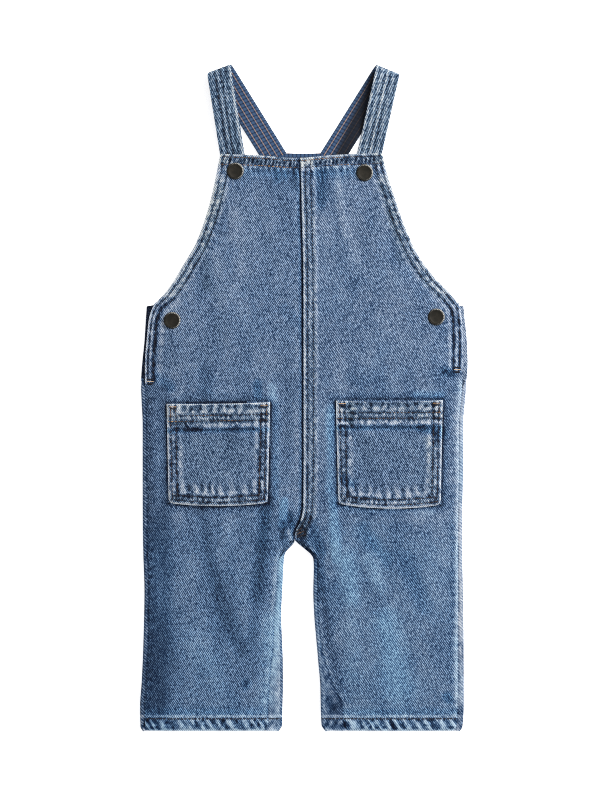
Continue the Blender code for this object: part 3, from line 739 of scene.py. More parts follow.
class Finish:
    # A material whose nodes are added by one method.
    def __init__(self, name, **constants):
        self.material = bpy.data.materials.new(name)
        self.material.use_nodes = True
        self.tree = self.material.node_tree
        self.shader = self.tree.nodes["Principled BSDF"]
        for socket, value in constants.items():
            self.shader.inputs[socket.replace("_", " ")].default_value = value

    def plug(self, socket, value):
        if isinstance(value, Value):
            self.tree.links.new(value.socket, socket)
        elif value is not None:
            socket.default_value = value

    def node(self, kind, settings=None, *values, **named):
        node = self.tree.nodes.new("ShaderNode" + kind)
        for key, value in (settings or {}).items():
            if key == "stops":
                ramp = node.color_ramp
                while len(ramp.elements) < len(value):
                    ramp.elements.new(0.5)
                for element, (at, colour) in zip(ramp.elements, value):
                    element.position = at
                    element.color = (*colour, 1)
            else:
                setattr(node, key, value)
        for socket, value in zip(node.inputs, values):
            self.plug(socket, value)
        for key, value in named.items():
            self.plug(node.inputs[key.replace("_", " ")], value)
        return Added(self, node)

    def ramp(self, stops, value):
        return self.node("ValToRGB", dict(stops=stops), value).out()

    def mark(self, name):
        return self.node("Attribute", dict(attribute_name=name)).out("Fac")

    def noise(self, u, v, scaleU, scaleV, detail=2.0, seed=0.0):
        place = self.node("CombineXYZ", None, u * scaleU, v * scaleV, seed).out()
        return self.node("TexNoise", dict(noise_dimensions="3D"), Vector=place, Scale=1.0,
                         Detail=detail, Roughness=0.55).out("Fac") - 0.5

    def mix(self, share, first, second, blend="MIX"):
        node = self.tree.nodes.new("ShaderNodeMix")
        node.data_type = "RGBA"
        node.blend_type = blend
        self.plug(node.inputs[0], share)
        for socket, value in ((node.inputs[6], first), (node.inputs[7], second)):
            self.plug(socket, (*value, 1) if isinstance(value, tuple) else value)
        return Value(self, node.outputs[2])

    def give(self, socket, value):
        self.plug(self.shader.inputs[socket], value)

    def cloth(self):
        # Where a point lies on the cloth, across it and along it in millimetres.
        place = self.node("SeparateXYZ", None, self.node("UVMap", dict(uv_map="cloth")).out())
        return place.out("X"), place.out("Y")

    def speckle(self, scale, detail):
        place = self.node("TexCoord").out("Object")
        return self.node("TexNoise", None, Vector=place, Scale=scale, Detail=detail).out("Fac")

    def relief(self, height, strength, distance):
        rough = self.node("Bump", None, Height=height, Strength=strength, Distance=distance)
        self.give("Normal", rough.out())


denim = {
    "across": 0.60,         # twill lines to a millimetre of width
    "down": 0.42,           # and of height
    "warp": 0.56,           # between two warp threads, in millimetres
    "float": 0.83,          # of each thread that shows
    "share": 0.04,          # of white thread that shows, besides the twill's swing
    "grain": 2.6,           # and how strongly each of these shows it
    "slub": 0.30,
    "streak": 0.11,
    "speck": 0.42,
    "rib": 0.12,
    "lump": 0.25,           # of wear in the thicker and thinner yarn
    "wash": 0.16,
    "spread": 0.9,          # of wear from the darkest stop to the palest
    # noises as scale across, scale along, detail and seed: square to the cloth, then along the twill
    "square": {"wander": (0.035, 0.035, 1.0, 3.0), "warp": (1.5, 0.07, 2.0, 11.0),
               "weft": (0.09, 1.3, 2.0, 15.0), "wash": (0.045, 0.03, 3.0, 19.0)},
    "slanted": {"grain": (1.70, 0.45, 2.0, 7.0), "fleck": (0.50, 0.22, 2.0, 27.0),
                "lump": (0.95, 0.40, 1.0, 31.0), "patch": (0.16, 0.10, 2.0, 23.0)},
    "dark": [(0.0, (0.001, 0.003, 0.012)), (0.167, (0.002, 0.007, 0.024)),
             (0.5, (0.007, 0.026, 0.072)), (0.72, (0.040, 0.075, 0.150)), (1.0, (0.13, 0.18, 0.28))],
    "light": [(0.0, (0.05, 0.08, 0.15)), (0.167, (0.11, 0.19, 0.32)),
              (0.5, (0.29, 0.43, 0.65)), (0.72, (0.48, 0.57, 0.70)), (1.0, (0.64, 0.69, 0.76))],
    "clear": (0.74, 1.04, 1.16),    # tint of the bluer patches
    "grey": (1.06, 1.02, 0.89),
}


def denimFinish(name, level=0.0, wide=1.0, twilled=0.5, strong=1.0):
    # Indigo twill, washed: wide stretches the twill across the cloth, below 0 it leans the other way.
    finish = Finish(name, Roughness=0.92, Specular_IOR_Level=0.18)
    u, v = finish.cloth()
    lean = 1 if wide > 0 else -1
    p = u * (0.82 * lean) + v * 0.57    # across the twill's lines
    q = u * (0.57 * lean) - v * 0.82    # along them
    noise = {kind: finish.noise(u, v, *row) for kind, row in denim["square"].items()}
    noise.update({kind: finish.noise(p, q, *row) for kind, row in denim["slanted"].items()})
    fleck, lump = noise["fleck"], noise["lump"]
    wander = noise["wander"] * 1.6
    twill = (u * (denim["across"] / wide) + v * denim["down"] + wander).wave()
    thread = u / denim["warp"] + wander * 0.5
    step = v / denim["float"] + thread.math("FLOOR") * 0.37
    cell = finish.node("CombineXYZ", None, thread.math("FLOOR"), step.math("FLOOR"), 0.0).out()
    speck = finish.node("TexWhiteNoise", dict(noise_dimensions="2D"), cell).out("Value") - 0.5
    rib = thread.wave() * step.wave()
    streak = ((u * 0.31 + v * 0.10) * (2 * pi) + fleck * 11.0).math("SINE")
    wear = (finish.mark("wear") * (1.0 + fleck) + fleck * 0.09 + lump * denim["lump"]
            + noise["wash"] * denim["wash"] + level)
    threads = (twill * (fleck * 0.8 + twilled) + noise["grain"] * denim["grain"]
               + noise["warp"] * denim["slub"] + streak * denim["streak"]
               + noise["weft"] * (denim["slub"] * 0.5) + speck * denim["speck"] + rib * denim["rib"])
    threads = (threads * (1.0 - finish.mark("soft")) * strong + wear * 0.8 + denim["share"]).clamp()
    worn = (wear / denim["spread"] + 0.5).clamp()
    colour = finish.mix(threads, finish.ramp(denim["dark"], worn), finish.ramp(denim["light"], worn))
    tint = finish.mark("tint") + noise["patch"] * 0.9 - lump * 0.4
    for share, tone in ((0.5, "clear"), (-0.5, "grey")):
        toned = finish.mix(1.0, colour, denim[tone], "MULTIPLY")
        colour = finish.mix((tint * share).clamp(), colour, toned)
    finish.give("Base Color", colour)
    finish.relief(twill * 0.5 + noise["grain"] * 1.2 + rib * 0.25, 0.5, 0.00012)
    return finish.material


lining = {
    "stripe": 4.15,         # between the lengthwise orange lines
    "bar": 3.1,             # between the dark cross bars
    "weave": 0.55,
    "shift": 2.1,           # of the stripes on the straps, so that one runs along the middle
    "ground": (0.043, 0.088, 0.180),
    "dark": (0.010, 0.020, 0.050),
    # the colour of the painted shadow on the lining
    "shade": (0.007, 0.008, 0.012),
    "light": (0.090, 0.150, 0.250),
    "orange": (0.45, 0.27, 0.16),
}


def liningFinish(name):
    finish = Finish(name, Roughness=0.88, Specular_IOR_Level=0.2)
    u, v = finish.cloth()
    stripe = (u / lining["stripe"] + 200.5).math("FRACT") * lining["stripe"]
    bar = (v / lining["bar"] + 200.0).math("FRACT") * lining["bar"]
    thread = finish.noise(u, v, 2.4, 2.4, 2.0, 5.0)
    broken = finish.noise(u, v, 0.3, 1.1, 2.0, 9.0)
    darkBar = bar.hump(0.9, 0.85) * 0.8
    middle = lining["stripe"] / 2
    darkLine = stripe.hump(middle + 0.95, 0.8) * 0.6 + stripe.hump(middle - 0.9, 0.7) * 0.4
    dark = (darkBar + darkLine + thread * 0.9).clamp()
    colour = finish.mix((thread * 1.2 + 0.12).clamp(), lining["ground"], lining["light"])
    colour = finish.mix(dark, colour, lining["dark"])
    line = (stripe.hump(middle, 0.38) * 1.7 * (0.72 + broken * 2.2) * (1 - darkBar * 0.55)).clamp()
    colour = finish.mix(line, colour, lining["orange"])
    # painted shadow on the lining, carried by its wear mark
    colour = finish.mix(finish.mark("wear"), colour, lining["shade"])
    finish.give("Base Color", colour)
    finish.relief(u.wave(lining["weave"]) * v.wave(lining["weave"]) + thread, 0.3, 0.00006)
    return finish.material


# from indigo to orange and straw, by a stitch's warmth
threadColours = [(0.0, (0.009, 0.011, 0.021)), (0.3, (0.055, 0.038, 0.036)), (0.6, (0.27, 0.16, 0.095)),
                 (0.85, (0.64, 0.37, 0.17)), (1.0, (0.80, 0.60, 0.42))]


def threadFinish():
    finish = Finish("topstitch_thread", Roughness=0.7, Specular_IOR_Level=0.3)
    fuzz = finish.speckle(900.0, 2.0)
    warm = (finish.mark("warm") + (fuzz - 0.5) * 0.5).clamp()
    finish.give("Base Color", finish.ramp(threadColours, warm))
    finish.relief(fuzz, 0.4, 0.0001)
    return finish.material


def capFinish():
    finish = Finish("antique_metal", Roughness=0.46, Metallic=0.85)
    cast = finish.speckle(260.0, 4.0)
    fine = finish.speckle(1500.0, 2.0)
    # the caps' wear mark is a painted highlight, which turns the rim pale on the side towards the light
    worn = (finish.mark("wear") + (cast - 0.5) * 0.06).clamp()
    colour = finish.mix(worn, (0.020, 0.019, 0.0155), (0.75, 0.74, 0.70))
    colour = finish.mix((cast * 1.6 - 0.6).clamp(), colour, (0.034, 0.027, 0.020))
    finish.give("Base Color", colour)
    finish.give("Roughness", (cast * 0.25 + fine * 0.2 + 0.28).clamp())
    finish.relief(fine, 0.25, 0.00005)
    return finish.material


looks = {
    # the right side is set a little darker than the left: partly the cloth's own tone, partly painted shade
    "right": denimFinish("washed_denim_right", 0.015, wide=0.93, twilled=0.50, strong=1.5),
    "left": denimFinish("washed_denim_left", 0.06, wide=1.03, twilled=0.42, strong=1.35),
    "pocket": denimFinish("washed_denim_pocket", 0.0, wide=0.97, twilled=0.46, strong=1.7),
    "strap_right": denimFinish("washed_denim_strap_right", -0.01, strong=1.9),
    "strap_left": denimFinish("washed_denim_strap_left", 0.05, wide=-1.0, strong=1.9),
    "lining": liningFinish("check_lining"),
    "thread": threadFinish(),
    "cap": capFinish(),
}
print("materials made")

# The front's two panels

frontCut = {
    # heights, each with the step between the rows of points after it
    "rows": ((192, 0.7), (180, 1.1), (174, 1.35), (90, 1.1), (66, 1.35), (-88, 1.1), (-124, 1.35),
             (-242, 0.8), (-258.6, 1)),
    # the columns' distances from its edges, and how many more lie between them
    "outer": (0, 0.35, 0.8, 1.4, 2.1, 2.8, 3.5, 4.3, 5.1, 5.9, 6.7, 7.5, 8.3, 9.1, 9.9, 10.8, 11.8),
    "inner": (0, 0.35, 0.8, 1.4, 2.1, 2.8, 3.5, 4.3, 5.2, 6.1, 7.0, 7.8, 8.6, 9.4, 10.2, 10.9, 11.5,
              12.1, 12.8, 13.6),
    "middle": 74,
    "wall": 1.05,
}


def acrossShares():
    # Each column as a share of the width and an inset from the inner edge.
    middleShares = np.linspace(0, 1, frontCut["middle"] + 2)[1:-1]
    inner, outer = frontCut["inner"], frontCut["outer"][::-1]
    share = [0.0] * len(inner) + list(middleShares) + [1.0] * len(outer)
    inset = list(inner)
    inset += list(inner[-1] + (-outer[0] - inner[-1]) * middleShares) + [-w for w in outer]
    return np.array(share), np.array(inset)


def makeFront(side):
    sign = signs[side]
    share, inset = acrossShares()
    y = steppedRows(*frontCut["rows"])[:, None]
    inner, outer = frontEdges(side, y)
    x = inner + share * (outer - inner) + sign * inset
    if side == "right":
        # the edge that runs on under the left panel's fold
        under = above(y, cut["crotch"], 5) * below(y, 172, 3)
        x = np.concatenate([x[:, :1] + 1.0 * under + 0.02, x[:, :1] + 0.5 * under + 0.01, x], axis=1)
    y = y + 0 * x
    face = frontFace(side, x, y)
    points = together(x, y + topShift(x, y), face["z"])
    return makeSheet(f"panel_front_{side}", points, together(x, y), face,
                     frontCut["wall"], looks[side], flip=side == "left")


panels = {}
for side in signs:
    panels[f"front_{side}"] = makeFront(side)
print("front made")

# The back's two panels, which turn up and over at the sides and the inseams

backCut = {
    "rows": ((192, 1.0), (180, 2.4), (90, 1.6), (0, 2.2), (-84, 1.4), (-130, 1.6), (-240, 1.0), (-258.6, 1)),
    "edgeInner": 0.9, "steps": 8, "flapLeast": 0.6, "spread": 4.5, "wall": 1.1,
    "inseamTurn": 15.0, "sideTurnTop": 22.0, "sideTurn": 14.0,
    "neckY": 191.2, "neckHalf": 12.8, "neckRise": 0.5, "strapSlope": 0.62,
    "follow": 150.0, "middle": 44,
    "spare": 0.15,          # by which the turned edges run on into the seams
    "slip": 0.6,            # of the twill as it runs round them
    "worn": {"right": (0.25, 0.0), "left": (0.02, 0.08)},   # of the inseam's turned edge and the side's
    "shade": {"right": -0.8, "left": 0.1},      # painted shade inside the side openings: darker on the right, a little lighter on the left
}


def turnedEdge(edge, sign, turn, wrap, flapSteps):
    # The back's inner face where it turns over, from the flat to the cloth's edge.
    outerRadius = backCut["edgeInner"] + cut["cloth"]
    flap = backCut["flapLeast"] + (wrap - outerRadius - backCut["flapLeast"]) * turn * turn
    angle = pi * turn
    reach = outerRadius * np.sin(np.minimum(angle, pi / 2)) + flap * np.maximum(np.cos(angle), 0)
    centre = edge - sign * reach
    xs, zs = [], []
    for step in range(backCut["steps"] + 1):
        theta = angle * step / backCut["steps"]
        spare = (1 - turn) * backCut["spread"] * (1 - step / backCut["steps"])
        xs.append(centre + sign * (backCut["edgeInner"] * np.sin(theta) - spare))
        zs.append(cut["cloth"] + backCut["edgeInner"] * (1 - np.cos(theta)))
    x, z = xs[-1], zs[-1]
    for step in range(1, flapSteps + 1):
        t = step / flapSteps
        xs.append(x + sign * flap * t * np.cos(angle))
        zs.append(z + flap * t * np.sin(angle))
    return np.stack(xs, axis=1), np.stack(zs, axis=1)


def neckline(x):
    beyond = np.abs(x) - backCut["neckHalf"]
    curved = backCut["neckY"] + backCut["neckRise"] * (x / backCut["neckHalf"]) ** 2
    straight = backCut["neckY"] + backCut["neckRise"] + 0.3 * ease(beyond) - beyond * backCut["strapSlope"]
    return np.where(beyond < 0, curved, straight)

def withNeckline(x, y):
    # Heights on the back, its top moved to follow the neck.
    follow = above(y, backCut["follow"], cut["bibTop"] - backCut["follow"])
    return y + follow * (neckline(x) - cut["bibTop"])


def makeBack(side):
    sign = signs[side]
    y = steppedRows(*backCut["rows"])
    inner, outer = outline(side, y)
    outer = np.where(y > silhouette["y"][-1], sign * curve(backArmhole, side, y), outer)
    turn = below(y, cut["crotch"], backCut["inseamTurn"])
    sideTurn = below(y, backCut["sideTurnTop"], backCut["sideTurn"])
    inX, inZ = turnedEdge(inner, -sign, turn, curve(inseamWrap, side, y) + backCut["spare"], 14)
    outX, outZ = turnedEdge(outer, sign, sideTurn, curve(sideWrap, side, y) + backCut["spare"], 7)

    # the turned edges' own puckers, and their roll down into the seams
    steps = backCut["steps"]
    worn = []
    for xs, zs, turned, seed, base in ((inX, inZ, turn, 71, backCut["worn"][side][0]),
                                       (outX, outZ, sideTurn, 75, backCut["worn"][side][1])):
        columns = np.arange(xs.shape[1])
        along = y[:, None] + 0 * xs
        d = np.abs(xs - xs[:, -1:])
        over = (columns > steps) * turned[:, None]
        waves = 0.20 * ripple(along + 0.5 * xs, 7.6, seed + sign) + 0.5 * cloud(xs, along, 4.0, seed + 7)
        zs += over * ease(np.abs(xs - xs[:, steps:steps + 1]) / 3) * waves
        zs -= over * 0.35 * bump(d, 0, 0.8)
        rubbed = base + 0.4 * cloud(xs, along, 3.2, seed + 9) + 0.25 * waves - 0.15 * bump(d, 0, 0.7)
        # a painted highlight along the rim where each edge turns over
        worn.append(over * rubbed + 0.15 * turned[:, None] * bump(columns, steps, 2.2))
    shares = np.linspace(0, 1, backCut["middle"] + 2)[1:-1]
    midX = inX[:, :1] + shares * (outX[:, :1] - inX[:, :1])
    x = np.concatenate([inX[:, ::-1], midX, outX], axis=1)
    z = np.concatenate([inZ[:, ::-1], cut["cloth"] + 0 * midX, outZ], axis=1)
    yy = y[:, None] + 0 * x
    face = newFace(x)
    crease = creased(x, yy)
    over = ease((z - cut["cloth"] - 0.3) / 0.8)
    face["wear"] += over * crease["wear"]
    face["wear"] += np.concatenate([worn[0][:, ::-1], 0 * midX, worn[1]], axis=1)
    face["tint"] += over * (crease["tint"] + 0.8 * (x * sign < 60))
    face["soft"] += 0.55 * over

    # hem and seam bands, and a soft cloudiness, on the underside too
    low = yy - cut["legEnd"]
    rope = ripple(x - 0.62 * low, 8.0, 91, 1.5) * ease(low / 1.5) * below(low, 9.8, 2)
    face["wear"] += 0.14 * rope + bands(low, hems["leg"]["wear"])
    d = np.abs(x - seamX(yy))
    face["wear"] += above(yy, cut["crotch"], 6) * bands(d, hems["fell"]["wear"]) * (side == "left")
    face["wear"] += 0.12 * cloud(x, yy * 0.6, 16, 93)
    face["tint"] += 1.1 * cloud(x, yy, 33, 95)

    # painted shade, only on the inner side where it shows in the side opening: darker on the right, a little
    # lighter on the left
    outerWear = face["wear"].copy()
    fromEdge = np.abs(x - outer[:, None])
    paintedShadeMask = above(yy, cut["openingEnd"], 8) * below(fromEdge, 9, 3) * below(yy, 90, 10)
    face["wear"] += backCut["shade"][side] * paintedShadeMask
    slip = np.concatenate([inZ[:, ::-1] - cut["cloth"], 0 * midX, cut["cloth"] - outZ], axis=1)
    points = together(x, withNeckline(x, yy), z)
    return makeSheet(f"panel_back_{side}", points, together(x + sign * backCut["slip"] * slip, yy), face,
                     backCut["wall"], looks[side], flip=side == "right", outwards=True,
                     outerWear=outerWear)


for side in signs:
    panels[f"back_{side}"] = makeBack(side)
print("back made")

# The patch pockets

pocketCut = {
    "rows": ((0, 0.4), (1.6, 0.9), (21.6, 1.0), (68, 0.75), (76.5, 0.4), (78.0, 1)),
    "lift": 1.42, "wall": 1.1, "wide": 79.5, "deep": 78.0,
    "edge": (0, 0.3, 0.7, 1.2, 1.8, 2.4, 3.0, 3.6, 4.3, 5.0, 5.7, 6.4, 7.1, 7.8, 8.6, 9.5),
    "middle": 56,
    "seed": {"right": 130, "left": 110},
    "corner": 0.6,          # by which the lower corners are rounded
}


def pocketFace(side, x, y):
    # The pocket's outer surface over x and y.
    face = frontFace(side, x, y, pocket=False)
    path = pocketPath(side)
    (ax, ay), (bx, by) = path[:2]
    top = np.interp(x, (ax, bx), (ay, by)) - y
    sides, run = pathDistance(x, y, path[1:] + [path[0]])
    bottom, _ = pathDistance(x, y, path[2:])
    seed = pocketCut["seed"][side]
    face["z"] += pocketCut["lift"] + 0.35 * cloud(x, y, 17, seed)
    face["wear"] += 0.08 * cloud(x, y, 9, seed + 1)
    layPuckers(face, top, x + 2 * cloud(x, y, 5, seed + 3), puckers["pocketMouth"], seed=seed)
    layPuckers(face, top, x, puckers["pocketTop"], seed=seed)
    layPuckers(face, bottom, x + 3 * cloud(x, y, 6, seed + 9), puckers[f"pocketPull_{side}"], seed=seed)
    layPuckers(face, bottom, x, puckers["pocketBottom"], seed=seed)
    layPuckers(face, sides, run, puckers["pocketSide"], seed=seed)
    face["tint"] -= 0.5 + 0.5 * below(bottom, 9, 3)
    layHem(face, top, x, hems["pocketTop"])
    layHem(face, sides, run, hems["pocketSide"])
    return face


def makePocket(side):
    spec = pockets[side]
    (ax, ay), (bx, by), (cx, cy), (ex, ey) = spec["corners"]
    wide, deep = pocketCut["wide"], pocketCut["deep"]
    edge = np.array(pocketCut["edge"]) / wide
    middle = np.linspace(edge[-1], 1 - edge[-1], pocketCut["middle"] + 2)[1:-1]
    s = np.concatenate([edge, middle, 1 - edge[::-1]])[None, :]
    t = steppedRows(*pocketCut["rows"])[:, None] / deep
    x = (ax * (1 - s) + bx * s) * (1 - t) + (ex * (1 - s) + cx * s) * t
    y = (ay * (1 - s) + by * s) * (1 - t) + (ey * (1 - s) + cy * s) * t
    y = y - sag(s) * (spec["sag"] * t ** 3 + spec["dip"] * (1 - t) ** 3)
    for at, way in ((0, 1), (1, -1)):
        near = ((1 - t) * deep) ** 2 + ((s - at) * wide) ** 2
        pull = pocketCut["corner"] * np.exp(-near / 5.0)
        x = x + way * pull
        y = y + pull
    face = pocketFace(side, x, y)
    return makeSheet(f"pocket_patch_{side}", together(x, y, face["z"]),
                     together(x, y), face, pocketCut["wall"], looks["pocket"], flip=True)


for side in signs:
    panels[f"pocket_{side}"] = makePocket(side)
print("pockets made")

# The straps, each rolled over at its fold, and their linings

strapCut = {
    "width": 19.0,
    "end": 86.0,            # from the fold to the end
    "bendInner": 3.0,
    "lining": 1.0,
    "drop": 55.8, "dropPower": 2.4,     # of the folded end, from the fold down to the bib
    "rest": 0.3,
    "square": 30.0,         # over which the slant of the fold turns into square ends
    "inset": 0.25, "liningEnd": 5.0,    # of the lining from the denim's edges and end
    "curl": 0.9,            # of the denim's edges
    "wall": 0.95, "liningWall": 0.55,
    "clear": 0.12,          # of the outer face under the solid's
    "faceDown": 0.15,       # and more where it lies face down
    "shade": {"right": 0.0, "left": 0.93},      # painted shadow on the lining, cast by the strap's folded run
    "right": dict(root=(-21.4, 187.0), lean=31.75, fold=(-66.3, 257.4), foldLean=20.4,
                  rows=(6.0, 10.4), dark=(1.2, 6.0, 10.4, 14.2), pale=(3.2, 8.1, 12.6, 17.7),
                  deep=(0.14, 0.36, 0.34, 0.20), bright=(0.14, 0.22, 0.12, 0.46)),
    "left": dict(root=(21.4, 186.7), lean=32.0, fold=(65.3, 257.2), foldLean=22.25,
                 rows=(7.0, 11.1), dark=(1.8, 7.0, 11.1, 16.0), pale=(4.2, 9.3, 13.9, 18.0),
                 deep=(0.24, 0.28, 0.24, 0.22), bright=(0.16, 0.44, 0.24, 0.40)),
}


def strapPlacer(side):
    sign = signs[side]
    spec = strapCut[side]
    lean, foldLean = radians(spec["lean"]), radians(spec["foldLean"])
    along = np.array((sign * sin(lean), cos(lean)))
    across = np.array((along[1], -along[0]))
    normal = np.array((sign * sin(foldLean), cos(foldLean)))
    root = np.array(spec["root"])
    outer = strapCut["bendInner"] + strapCut["lining"] + cut["gap"] + cut["cloth"]
    axis = np.array(spec["fold"]) - normal * outer
    skew = across.dot(normal) / along.dot(normal)
    turned = pi * (outer - cut["cloth"] / 2)
    toFold = (axis - root).dot(normal) / along.dot(normal)
    bend = turned / along.dot(normal)
    length = toFold + bend + strapCut["end"]

    def place(s, u, layer):
        # Points of a layer, the layer given as its height on the table.
        shear = np.minimum(1.0, np.minimum(s, length - s) / strapCut["square"])
        flat = (root + along * (s - u * skew * shear)[..., None] + across * u[..., None])
        beyond = (flat - axis).dot(normal)
        radius = outer - layer
        angle = pi * np.clip(beyond / turned, 0, 1)
        run = np.maximum(beyond - turned, 0)
        back = np.where(beyond <= 0, 0, np.where(beyond < turned, beyond - radius * np.sin(angle),
                                                 beyond + run))
        plan = flat - normal * back[..., None]
        drop = np.minimum(run / strapCut["drop"], 1.0) ** strapCut["dropPower"]
        top = outer + radius
        rest = strapCut["rest"] + strapCut["lining"] + cut["gap"] + cut["cloth"] - layer
        z = np.where(beyond <= 0, layer, np.where(beyond < turned, outer - radius * np.cos(angle),
                                                  top + (rest - top) * drop))
        return np.concatenate([plan, z[..., None]], axis=-1)

    return place, toFold, bend, length


def strapSteps(toFold, bend, length, step):
    return steppedRows((-0.28, 1.6), (toFold - 2, 0.5), (toFold + bend + 2, step), (length, 1))


def strapFace(side, s, u):
    # Relief and wear of the strap's denim, s along it and u across.
    spec = strapCut[side]
    d = strapCut["width"] / 2 - signs[side] * u
    face = newFace(s)
    seed = 200 + signs[side]
    wobble = d + 0.5 * cloud(s, s * 0, 11, seed)
    for at, deep in zip(spec["dark"], spec["deep"]):
        face["z"] -= 0.28 * bump(wobble, at, 0.8)
        face["wear"] -= deep * bump(wobble, at, 1.1) * (1 + 0.5 * ripple(s, 4.3, seed + int(at * 10)))
    for at, bright in zip(spec["pale"], spec["bright"]):
        lumpy = 1 + 0.5 * ripple(s, 3.4, seed + int(at * 10))
        face["z"] += 0.14 * bump(wobble, at, 0.9) * lumpy
        face["wear"] += bright * bump(wobble, at, 0.8) * lumpy
    face["wear"] += 0.29 * cloud(s, u, 1.7, seed + 7) + 0.12 * bump(d, 0, 1.0)
    face["wear"] += 0.12 * cloud(s * 0.6, u * 1.5, 7, seed + 5)
    face["tint"] -= 1.5
    return face


def makeStrap(side):
    place, toFold, bend, length = strapPlacer(side)
    half, curl = strapCut["width"] / 2, strapCut["curl"]
    angles = np.linspace(pi / 2, 0, 6)
    edge = half - curl + curl * np.sin(angles)
    sunk = curl - curl * np.cos(angles)
    inside = np.linspace(edge[-1], -edge[-1], 23)[1:-1]
    sink = np.concatenate([sunk, 0 * inside, sunk[::-1]])
    s, u = np.broadcast_arrays(strapSteps(toFold, bend, length, 0.95)[:, None],
                               np.concatenate([edge, inside, -edge[::-1]])[None, :])
    face = strapFace(side, s, u)
    over = above(s, toFold, bend)
    layer = strapCut["clear"] + sink - face["z"] * over + strapCut["faceDown"] * (1 - over)
    return makeSheet(f"strap_denim_{side}", place(s, u, layer), together(u, s), face,
                     strapCut["wall"], looks[f"strap_{side}"])


def makeLining(side):
    place, toFold, bend, length = strapPlacer(side)
    half = strapCut["width"] / 2 - strapCut["inset"]
    u = np.concatenate([[half, half - 0.15, half - 0.5], np.linspace(half - 1, -half + 1, 15),
                        [-half + 0.5, -half + 0.15, -half]])
    s, u = np.broadcast_arrays(strapSteps(toFold, bend, length - strapCut["liningEnd"], 1.6)[:, None],
                               u[None, :])
    face = newFace(s)
    layer = cut["cloth"] + cut["gap"] + strapCut["lining"] - 0.1
    layer = layer - 0.45 * bump(half - np.abs(u), 0, 0.45) + 0.12 * cloud(s, u, 6, 230)
    # painted shadow of the strap's folded run, on the lining of the run below it, deeper towards the fold
    paintedShadow = ease((u + 3 + 10 * s / toFold) / 7) * below(s, toFold + 3, 5)
    face["wear"] += strapCut["shade"][side] * paintedShadow
    return makeSheet(f"strap_check_{side}", place(s, u, layer),
                     together(signs[side] * u - lining["shift"], s), face,
                     strapCut["liningWall"], looks["lining"], flip=True)


for side in signs:
    panels[f"strap_{side}"] = makeStrap(side)
    panels[f"strap_lining_{side}"] = makeLining(side)


facing = {"half": 28.6, "deep": 30.4, "flare": 0.12, "high": 2.45, "wall": 0.8, "stripeAt": 187.5}


def makeFacing():
    # The check facing inside the back's neck.
    drop = steppedRows((0, 0.4), (1.6, 1.6), (facing["deep"], 1))[:, None]
    flare = 1 + facing["flare"] * drop / facing["half"]
    x = np.linspace(-facing["half"], facing["half"], 64)[None, :] * flare
    y = neckline(x / flare) - drop
    z = facing["high"] - 0.35 * bump(drop, 0, 0.5) + 0.08 * cloud(x, y, 5, 240)
    return makeSheet("neck_facing", together(x, y, z),
                     together(y - facing["stripeAt"], x), newFace(x), facing["wall"],
                     looks["lining"], flip=True)


panels["back_facing"] = makeFacing()
print("straps and facing made")

# Stitching: one stitch, repeated along each row

thread = {
    "pitch": 2.7, "fill": 0.76, "radius": 0.27, "flat": 1.15, "arch": 0.72,
    "skip": 0.0,            # the share of stitches left out
    "stray": 0.12, "lengths": (0.92, 1.06), "fade": 0.08,       # from stitch to stitch
    "warm": 0.02, "lift": 0.08,
}
# what is different in each kind of row
sewing = {
    "opening": dict(thick=0.29),
    "bib": dict(thick=0.36, patchy=0.5),
    "fell": dict(thick=0.33),
    "leg": dict(warm=-0.05, fill=0.97, thick=0.5),
    "back": dict(lift=0.0, thick=0.33),
    "pocketSide": dict(warm=0.06, thick=0.33, patchy=0.3),
    "pocketTop": dict(thick=0.38, patchy=0.3, ends=0.5),
    "strap": dict(lift=0.0),
    "tack": dict(pitch=0.5, fill=0.9, lift=0.22),
}


def makeStitch():
    # A bead of thread along X from -0.5 to 0.5, its ends dipping into the cloth.
    bpy.ops.object.select_all(action="DESELECT")
    bpy.ops.mesh.primitive_uv_sphere_add(segments=6, ring_count=6, radius=0.5, rotation=(0, radians(90), 0))
    stitch = bpy.context.object
    stitch.name = "one_stitch"
    bpy.ops.object.transform_apply(rotation=True)
    for vertex in stitch.data.vertices:
        x, y, z = vertex.co
        vertex.co = (x, y * thread["flat"], z - thread["arch"] * x * x)
    return stitch


stitchModel = makeStitch()


def unit(v):
    return v / np.maximum(np.linalg.norm(v, axis=-1, keepdims=True), 1e-9)


def stitchRow(points, normals, seed, warm=thread["warm"], pitch=thread["pitch"], fill=thread["fill"],
              lift=thread["lift"], thick=thread["radius"], patchy=0.0, ends=0.0):
    # The ends, normals and colour of each stitch along a row of points: patchy rows fade along
    # their length, and ends warms both ends of one.
    run = np.concatenate([[0], np.cumsum(np.linalg.norm(np.diff(points, axis=0), axis=1))])
    count = max(1, int(run[-1] / pitch))
    rng = np.random.default_rng(seed)
    stray = rng.uniform(-thread["stray"], thread["stray"], count) * pitch
    start = np.arange(count) * run[-1] / count + stray
    end = start + fill * run[-1] / count * rng.uniform(*thread["lengths"], count)

    def at(where, values):
        return np.stack([np.interp(where, run, values[:, i]) for i in range(3)], axis=1)

    keep = rng.random(count) >= thread["skip"]
    normal = unit(at((start + end) / 2, normals))
    first = at(start, points) + normal * lift
    last = at(end, points) + normal * lift
    warmth = warm + rng.uniform(-thread["fade"], thread["fade"], count)
    warmth += patchy * 2 * cloud(start, start * 0, 17, seed)
    warmth += ends * bump(np.minimum(start, run[-1] - start), 0, 5)
    return dict(first=first[keep], last=last[keep], normal=normal[keep], warm=warmth[keep],
                radius=np.full(keep.sum(), thick))


